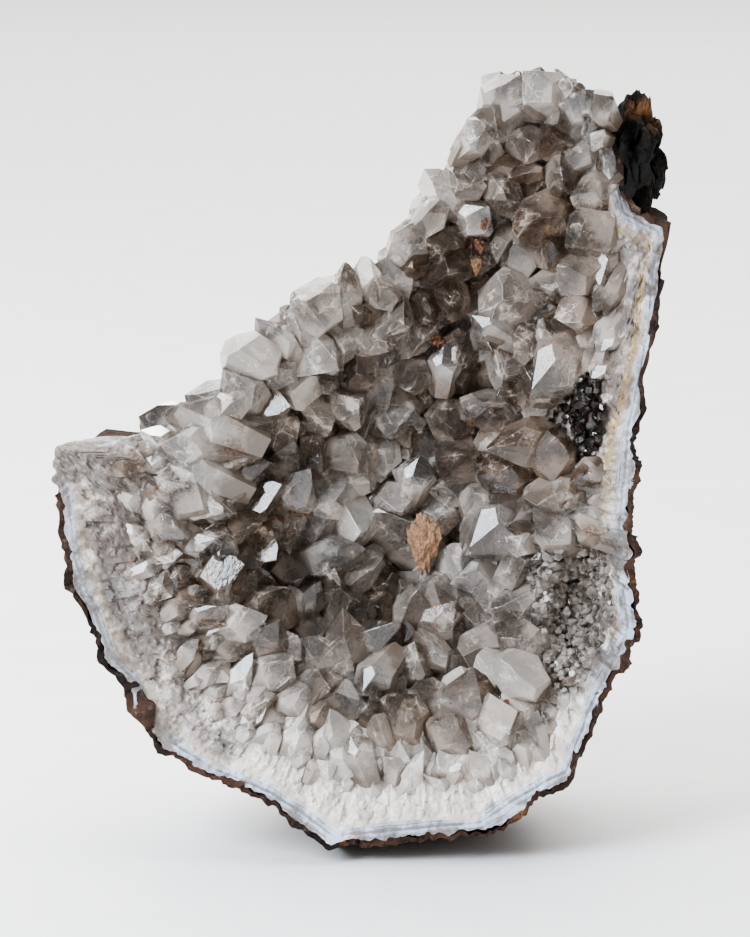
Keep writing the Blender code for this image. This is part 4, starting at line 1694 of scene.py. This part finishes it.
    def zone(self, place: Vector, zones: tuple) -> float:
        """How strongly a place lies in any of the zones, each given by middle and radius in mm.

        Args:
            place: the point, counted from the axis.
            zones: each zone's middle and radius in mm.

        Returns:
            1 in a zone's middle and 0 far from all.
        """
        return max(
            math.exp(-(((place.x / MM - right) ** 2 + (place.z / MM - up) ** 2) / wide**2))
            for right, up, wide in zones
        )

    def try_filler(
        self, cluster: Cluster, radius: float, spacing: float, dice: random.Random, taken: Spots
    ) -> None:
        """Stands a crystal at a random place on the wall if there is room.

        Args:
            cluster: the piece that the crystal joins.
            radius: the crystal's radius.
            spacing: least distance to other crystals, in summed radii.
            dice: source of the random draws.
            taken: where crystals already stand.
        """
        angle = round(dice.uniform(-math.pi, math.pi), 3)
        outward = math.sqrt(dice.uniform(0.0, 1.0))
        place, normal = SHAPE.wall(angle, outward)
        if DarkDruse.is_at(place) or ridge_share(place) > 0.45 or not taken.is_free(place, radius, spacing):
            return
        axis = self.axis_at(normal, dice.gauss(0.0, self.lean), dice.gauss(4.0, self.lean))
        # painted shade and painted light by zone, on the crystal's tint and milk
        dark = self.zone(place, self.painted_shade_zones)
        bright = self.zone(place, self.painted_light_zones)
        tint = dice.gauss(0.55 + 0.4 * dark - 0.5 * bright, 0.22)
        milk = max(0.0, dice.gauss(0.12 - 0.1 * dark + 0.3 * bright, 0.14))
        stretch, roll, flat = dice.uniform(0.9, 1.5), dice.uniform(0, math.tau), dice.uniform(0.6, 1.0)
        matrix = standing(place - axis * radius * self.sunk, axis, radius, stretch, roll, flat)
        cluster.add(dice.choice(PATTERNS.pointed), matrix, tint, milk)
        taken.take(place, radius)

    def try_edge(
        self, cluster: Cluster, radius: float, spacing: float, dice: random.Random, taken: Spots
    ) -> None:
        """Stands a crystal on the broken edge of the top left if there is room.

        Args:
            cluster: the piece that the crystal joins.
            radius: the crystal's radius.
            spacing: least distance to other crystals, in summed radii.
            dice: source of the random draws.
            taken: where crystals already stand.
        """
        degrees = dice.uniform(*self.edge_directions)
        angle = round(math.radians(degrees), 3)
        side_share = SHAPE.break_side_share * (1.0 - SHAPE.rind_cover(angle))
        across = dice.uniform(side_share * 0.3, 1.0)
        place = SHAPE.rim(angle, across)
        too_far = SHAPE.rim_width(angle) * (1.0 - across) > self.edge_width
        if too_far or not taken.is_free(place, radius, spacing):
            return
        outward = Vector((math.cos(angle), 0.0, math.sin(angle)))
        sway = Vector((dice.gauss(-0.1, 0.35), -dice.uniform(0.2, 1.0), dice.gauss(0.3, 0.3)))
        share = self.top_outward if degrees < self.top_ends else 1.0
        axis = outward * dice.uniform(0.5, 1.2) * share + sway
        depth = radius * dice.uniform(0.9, 1.5) + self.edge_sunk
        end = place - axis.normalized() * (depth + radius)
        end_angle = round(math.atan2(end.z, end.x), 3)
        behind = end.y + radius * self.end_share - SHAPE.back_at(end_angle, math.hypot(end.x, end.z))
        place = place + Vector((0.0, -clamp(behind / self.edge_pull) * self.edge_pull, 0.0))
        stretch, roll, flat = dice.uniform(0.9, 1.4), dice.uniform(0, math.tau), dice.uniform(0.6, 1.0)
        matrix = standing(place - axis.normalized() * depth, axis, radius, stretch, roll, flat)
        pattern, tint = dice.choice(PATTERNS.pointed), dice.gauss(0.25, 0.15)
        cluster.add(pattern, matrix, tint, max(0.0, dice.gauss(0.22, 0.18)))
        taken.take(place, radius)


def ridge_share(place: Vector) -> float:
    """How far a place lies on the pale fibrous ridge beside the lobe, from 0 to 1.

    Args:
        place: the point, counted from the axis.

    Returns:
        0 off the ridge and 1 along its middle.
    """
    middle_right, middle_up, lean, half_wide, half_high = RIDGE
    up = place.z / MM - middle_up
    across = place.x / MM - middle_right - up * lean
    return math.exp(-((across / half_wide) ** 2) - (up / half_high) ** 4)


@dataclass
class DarkDruse:
    """The fine dark druse of the recess at the lower right, and of the hole in the right side."""

    zones: ClassVar[tuple] = ((65.0, 44.0, 10.5, 16.0), (65.0, -30.0, 20.0, 28.0))
    seed: int = 51
    grains: int = 4200
    directions: tuple = (-44.0, 50.0)
    radii: tuple = (1.2, 2.6)
    spacing: float = 0.55

    @classmethod
    def is_at(cls, place: Vector) -> bool:
        """Whether a place on the broken face lies in one of the zones, each an upright oval in mm.

        Args:
            place: the point, counted from the axis.

        Returns:
            True inside a zone.
        """
        return any(
            math.hypot((place.x / MM - right) / half_wide, (place.z / MM - up) / half_high) < 1.0
            for right, up, half_wide, half_high in cls.zones
        )

    def build(self) -> None:
        """Stands the fine crystals."""
        dice = random.Random(self.seed)
        cluster = Cluster("recess_druse")
        hole = Cluster("hole_druse")
        taken = Spots(6 * MM)
        for _ in range(self.grains):
            angle = round(math.radians(dice.uniform(*self.directions)), 3)
            across = dice.uniform(0.25, 1.3)
            if across < 1.0:
                place = SHAPE.rim(angle, across) + Vector((0.0, SHAPE.recess(angle, across), 0.0))
            else:
                place = SHAPE.cavity(angle, 2.0 - across)
            radius = dice.uniform(*self.radii) * MM
            if not self.is_at(place) or not taken.is_free(place, radius, self.spacing):
                continue
            axis = Vector((dice.gauss(-0.4, 0.5), -1.0, dice.gauss(0.2, 0.5)))
            stretch, roll = dice.uniform(0.9, 1.5), dice.uniform(0, 6)
            matrix = standing(place - axis.normalized() * radius, axis, radius, stretch, roll)
            in_hole = place.z > 0.0
            tint = dice.gauss(1.0 if in_hole else 0.5, 0.18)
            pattern = dice.choice(PATTERNS.pointed)
            milk = 0.0 if in_hole else dice.gauss(0.42, 0.12)
            (hole if in_hole else cluster).add(pattern, matrix, tint, milk)
            taken.take(place, radius)
        grey = CrystalFinish(
            stain=(0.05, 0.03, 0.02), milk=(0.36, 0.34, 0.31), root_shade_pale=(0.15, 0.14, 0.125),
            root_shade_dark=(0.14, 0.13, 0.115),
        )
        ride_and_replace(cluster.finish(grey.make("grey_druse_quartz", 0.05)), QUARTZ_NODE)
        black = CrystalFinish(
            smoky=(0.10, 0.07, 0.055), root_shade_dark=(0.012, 0.008, 0.006), stain=(0.05, 0.02, 0.01)
        )
        ride_and_replace(hole.finish(black.make("black_druse_quartz", 0.0)), QUARTZ_NODE)


@dataclass
class RimColumns:
    """The broken columns of the rim, lying towards the cavity, with points along its inner edge."""

    seed: int = 33
    rows: tuple = (
        (0.99, 0.0, 8.8), (0.88, 0.5, 8.4), (0.77, 0.2, 8.0), (0.66, 0.7, 8.0), (0.56, 0.3, 11.0),
    )
    wide_at: tuple = (34.0, 26.0)
    # painted light: the direction round the rim where the columns are made paler and milkier
    lit_bottom_at: tuple = (-100.0, 42.0)
    pointed_share: float = 0.8
    narrow: float = 14 * MM
    least: float = 9 * MM
    least_right: float = 8 * MM
    margin: float = 4 * MM
    sunk: float = 1.35

    def build(self) -> None:
        """Lays the columns row by row."""
        dice = random.Random(self.seed)
        columns = Cluster("rim_columns")
        for across, offset, pitch in self.rows:
            angle = -math.pi
            while angle < math.pi:
                step = pitch * MM / math.hypot(*SHAPE.rim(round(angle, 3), across).xz)
                self.lay(columns, angle + offset * step, across, dice)
                angle += step * dice.uniform(0.8, 1.25)
        white = CrystalFinish(density=30.0, milk=(0.80, 0.75, 0.70), root_shade_pale=(0.52, 0.45, 0.39))
        ride_and_replace(columns.finish(white.make("rim_quartz", 0.12)), QUARTZ_NODE)

    def lay(self, columns: Cluster, angle: float, across: float, dice: random.Random) -> None:
        """Lays one column on the broken face, its free end towards the cavity.

        Args:
            columns: the piece that the column joins.
            angle: direction round the axis, in radians.
            across: way across the broken face, 0 at the rind and 1 at the cavity.
            dice: source of the random draws.
        """
        angle = round(angle, 3)
        width = SHAPE.rim_width(angle)
        least = self.least + self.least_right * bump_at(math.degrees(angle), *self.wide_at)
        if width < self.narrow or across * width < least or DarkDruse.is_at(SHAPE.rim(angle, across)):
            return
        spot = clamp(across + dice.uniform(-0.06, 0.06), 0.0, 1.0)
        place = SHAPE.rim(angle, spot)
        inward = (SHAPE.rim(angle, min(1.0, spot + 0.05)) - SHAPE.rim(angle, spot - 0.1)).normalized()
        inner = ramp(across, 0.45, 0.8)
        rise = dice.uniform(0.2, 0.6) + inner * dice.uniform(0.1, 0.9)
        sway = dice.gauss(0.0, 0.3)
        beside = Vector((-math.sin(angle), 0.0, math.cos(angle)))
        axis = inward + Vector((0.0, -rise, 0.0)) + beside * sway
        radius = (dice.uniform(2.0, 3.6) * (1.0 - inner) + dice.uniform(3.8, 7.6) * inner) * MM
        # painted light: columns at the bottom of the rim are paler and milkier where the light falls
        lit_bottom = bump_at(math.degrees(angle), *self.lit_bottom_at)
        pattern = dice.choice(PATTERNS.pointed if dice.random() < self.pointed_share else PATTERNS.broken)
        stretch = dice.uniform(1.1, 1.8)
        radius = min(radius, (across * width - self.margin) / (self.sunk + stretch))
        sunk = place + Vector((0.0, radius * 0.45, 0.0)) - axis.normalized() * radius * self.sunk
        matrix = standing(sunk, axis, radius, stretch, dice.uniform(0, math.tau))
        tint = dice.gauss(0.7 - 0.6 * lit_bottom, 0.22)
        columns.add(pattern, matrix, tint, dice.gauss(0.08, 0.12) + 0.5 * lit_bottom)


@dataclass
class Goethite:
    """The goethite: sandy crusts on the crystals, and flakes and needles sealed in them."""

    seed: int = 44
    crusts: tuple = ((10, -12, 6.4, 10.0, 14.5), (14, -43, 3.2, 5.4, 12.0), (28, 97, 2.2, 3.4, 10.0))
    spots: tuple = (
        (27, 106, 2.6), (30, 114, 2.2), (30, 36, 2.4), (12, 68, 1.8), (-49, -2, 6.5), (46, -74, 3.0),
    )
    spot_grains: int = 46
    crust_thickness: float = 3.0 * MM
    crust_lift: float = 10.0 * MM
    flakes: int = 300

    def build(self) -> None:
        """Makes the crusts and the sealed flakes."""
        dice = random.Random(self.seed)
        for number, sizes in enumerate(self.crusts):
            self.crust(number, *(size * MM for size in sizes))
        sealed = Cluster("sealed_goethite")
        for _ in range(self.flakes):
            angle = dice.uniform(-math.pi, math.pi)
            place, normal = SHAPE.wall(round(angle, 3), math.sqrt(dice.uniform(0.0, 0.95)))
            lifted = place + normal * dice.uniform(1.5, 7.5) * MM
            axis = Vector((dice.gauss(0, 1), dice.gauss(0, 1), dice.gauss(0, 1)))
            needle = dice.random() < 0.5
            radius = dice.uniform(0.15, 0.35) * MM if needle else dice.uniform(0.5, 1.1) * MM
            matrix = standing(lifted, axis, radius, dice.uniform(4.0, 9.0) if needle else 0.12, 0.0)
            sealed.add(PATTERNS.broken[0], matrix, 0.5, 0.0)
        for right, up, spread in self.spots:
            for _ in range(self.spot_grains):
                aside, above = dice.gauss(0.0, spread * 0.5), dice.gauss(0.0, spread * 0.5)
                place, normal = SHAPE.wall_under((right + aside) * MM, (up + above) * MM)
                lifted = place + normal * self.crust_lift * dice.uniform(0.6, 1.15)
                axis = Vector((dice.gauss(0, 1), -1.0, dice.gauss(0, 1)))
                matrix = standing(lifted, axis, dice.uniform(0.4, 0.9) * MM, dice.uniform(0.5, 1.2), 0.0)
                sealed.add(PATTERNS.pointed[0], matrix, 0.5, 0.0)
        finish = GoethiteFinish((0.22, 0.10, 0.045), (0.07, 0.03, 0.018), 0.45, 0.25)
        ride_and_replace(sealed.finish(finish.make("goethite_needles")), QUARTZ_NODE)

    def crust(
        self, number: int, right: float, up: float, half_wide: float, half_high: float, lift: float
    ) -> None:
        """One sandy crust, a flattened lump of grains lying over the crystals.

        Args:
            number: the crust's number.
            right: distance to the right of the axis.
            up: height over the axis.
            half_wide: half its width.
            half_high: half its height.
            lift: its distance in front of the wall.
        """
        deselect_all()
        bpy.ops.mesh.primitive_ico_sphere_add(subdivisions=5, radius=1.0)
        piece = bpy.context.object
        piece.name = f"goethite_crust_{number}"
        angle = math.atan2(up, right)
        if math.hypot(right, up) > SHAPE.edge_at(False, angle)[0]:
            place, normal = SHAPE.rim(angle, 0.8), Vector((0.0, -1.0, 0.0))
        else:
            place, normal = SHAPE.wall_under(right, up)
        facing = (normal + Vector((0.0, -0.8, 0.0))).normalized()
        turn = facing.to_track_quat("Z", "Y").to_matrix()
        centre = place + facing * lift + SHAPE.axis
        for vert in piece.data.vertices:
            rugged = 1.0 + 0.45 * noise.noise(vert.co * 2.4 + Vector((number, 0, 0)))
            rugged += 0.12 * chips(vert.co * 9, 2.0)
            aside = vert.co.x * half_wide * (0.8 + 0.35 * vert.co.y)
            offset = Vector((aside, vert.co.y * half_high, vert.co.z * self.crust_thickness))
            vert.co = centre + turn @ (offset * rugged)
        piece.data.materials.append(GoethiteFinish().make(f"goethite_crust_{number}"))
        ride_and_replace(piece, QUARTZ_NODE)


@dataclass
class Studio:
    """A pale floor, soft lights and the camera at the photograph's angle."""

    floor_size: float = 24.0
    camera_distance: float = 1.4
    lens: float = 141.0
    aim: tuple = (4.4 * MM, -8.3 * MM, 140.8 * MM)
    lights: tuple = (
        KEY_LIGHT,
        Light("back_left", (-1.3, 0.7, 0.9), (1.0, 1.0), 18.0, (1.0, 0.985, 0.96)),
        Light("front_fill", (0.5, -1.9, 0.75), (1.6, 1.2), 5.0, (1.0, 0.965, 0.92)),
        Light("ceiling", (0.0, 2.0, 3.6), (6.0, 6.0), 360.0, (1.0, 0.985, 0.965)),
    )
    sky: Colour = (0.885, 0.875, 0.86)
    sky_strength: float = 0.34
    contrast: str = "AgX - Medium High Contrast"
    exposure: float = 0.25
    light_bounces: int = 6
    diffuse_bounces: int = 3

    def build(self) -> None:
        """Sets up floor, lights, sky and camera."""
        self.floor()
        for light in self.lights:
            self.light(light)
        world = bpy.data.worlds.new("studio")
        world.use_nodes = True
        background = world.node_tree.nodes["Background"]
        background.inputs["Color"].default_value = (*self.sky, 1.0)
        background.inputs["Strength"].default_value = self.sky_strength
        bpy.context.scene.world = world
        bpy.context.scene.view_settings.look = self.contrast
        bpy.context.scene.view_settings.exposure = self.exposure
        paths = bpy.context.scene.cycles
        paths.max_bounces = paths.transmission_bounces = self.light_bounces
        paths.diffuse_bounces = self.diffuse_bounces
        self.camera()

    def floor(self) -> None:
        """The plain pale floor."""
        deselect_all()
        bpy.ops.mesh.primitive_plane_add(size=self.floor_size, location=(0.0, 0.0, 0.0))
        floor = bpy.context.object
        floor.name = "floor"
        finish = Finish("pale_floor")
        speckle = finish.cloud(30.0, 3.0)
        finish.set(
            Base_Color=finish.blend(finish.step(speckle, 0.3, 0.7), (0.84, 0.84, 0.845), (0.87, 0.87, 0.87)),
            Roughness=0.55,
        )
        floor.data.materials.append(finish.material)

    def light(self, light: Light) -> None:
        """Hangs one area light and aims it at the geode.

        Args:
            light: the light's place, size, power and colour.
        """
        data = bpy.data.lights.new(light.name, "AREA")
        data.shape = "RECTANGLE"
        data.size, data.size_y = light.size
        data.energy = light.watts
        data.color = light.colour
        lamp = bpy.data.objects.new(light.name, data)
        bpy.context.scene.collection.objects.link(lamp)
        lamp.location = light.place
        lamp.rotation_euler = (Vector(self.aim) - lamp.location).to_track_quat("-Z", "Y").to_euler()

    def camera(self) -> None:
        """The camera, looking slightly down at the open cavity."""
        data = bpy.data.cameras.new("camera")
        data.lens = self.lens
        camera = bpy.data.objects.new("camera", data)
        bpy.context.scene.collection.objects.link(camera)
        elevation = math.radians(CAMERA_ELEVATION)
        back = Vector((0.0, -math.cos(elevation), math.sin(elevation)))
        camera.location = Vector(self.aim) + back * self.camera_distance
        camera.rotation_euler = (-back).to_track_quat("-Z", "Y").to_euler()
        bpy.context.scene.camera = camera


def main() -> None:
    """Builds the geode piece by piece, then the studio."""
    logging.basicConfig(level=logging.INFO, format="%(message)s")
    PATTERNS.build()
    for part in (RockRind(), QuartzBody(), Druse(), DarkDruse(), RimColumns(), Goethite(), Studio()):
        part.build()


if __name__ == "__main__":
    main()
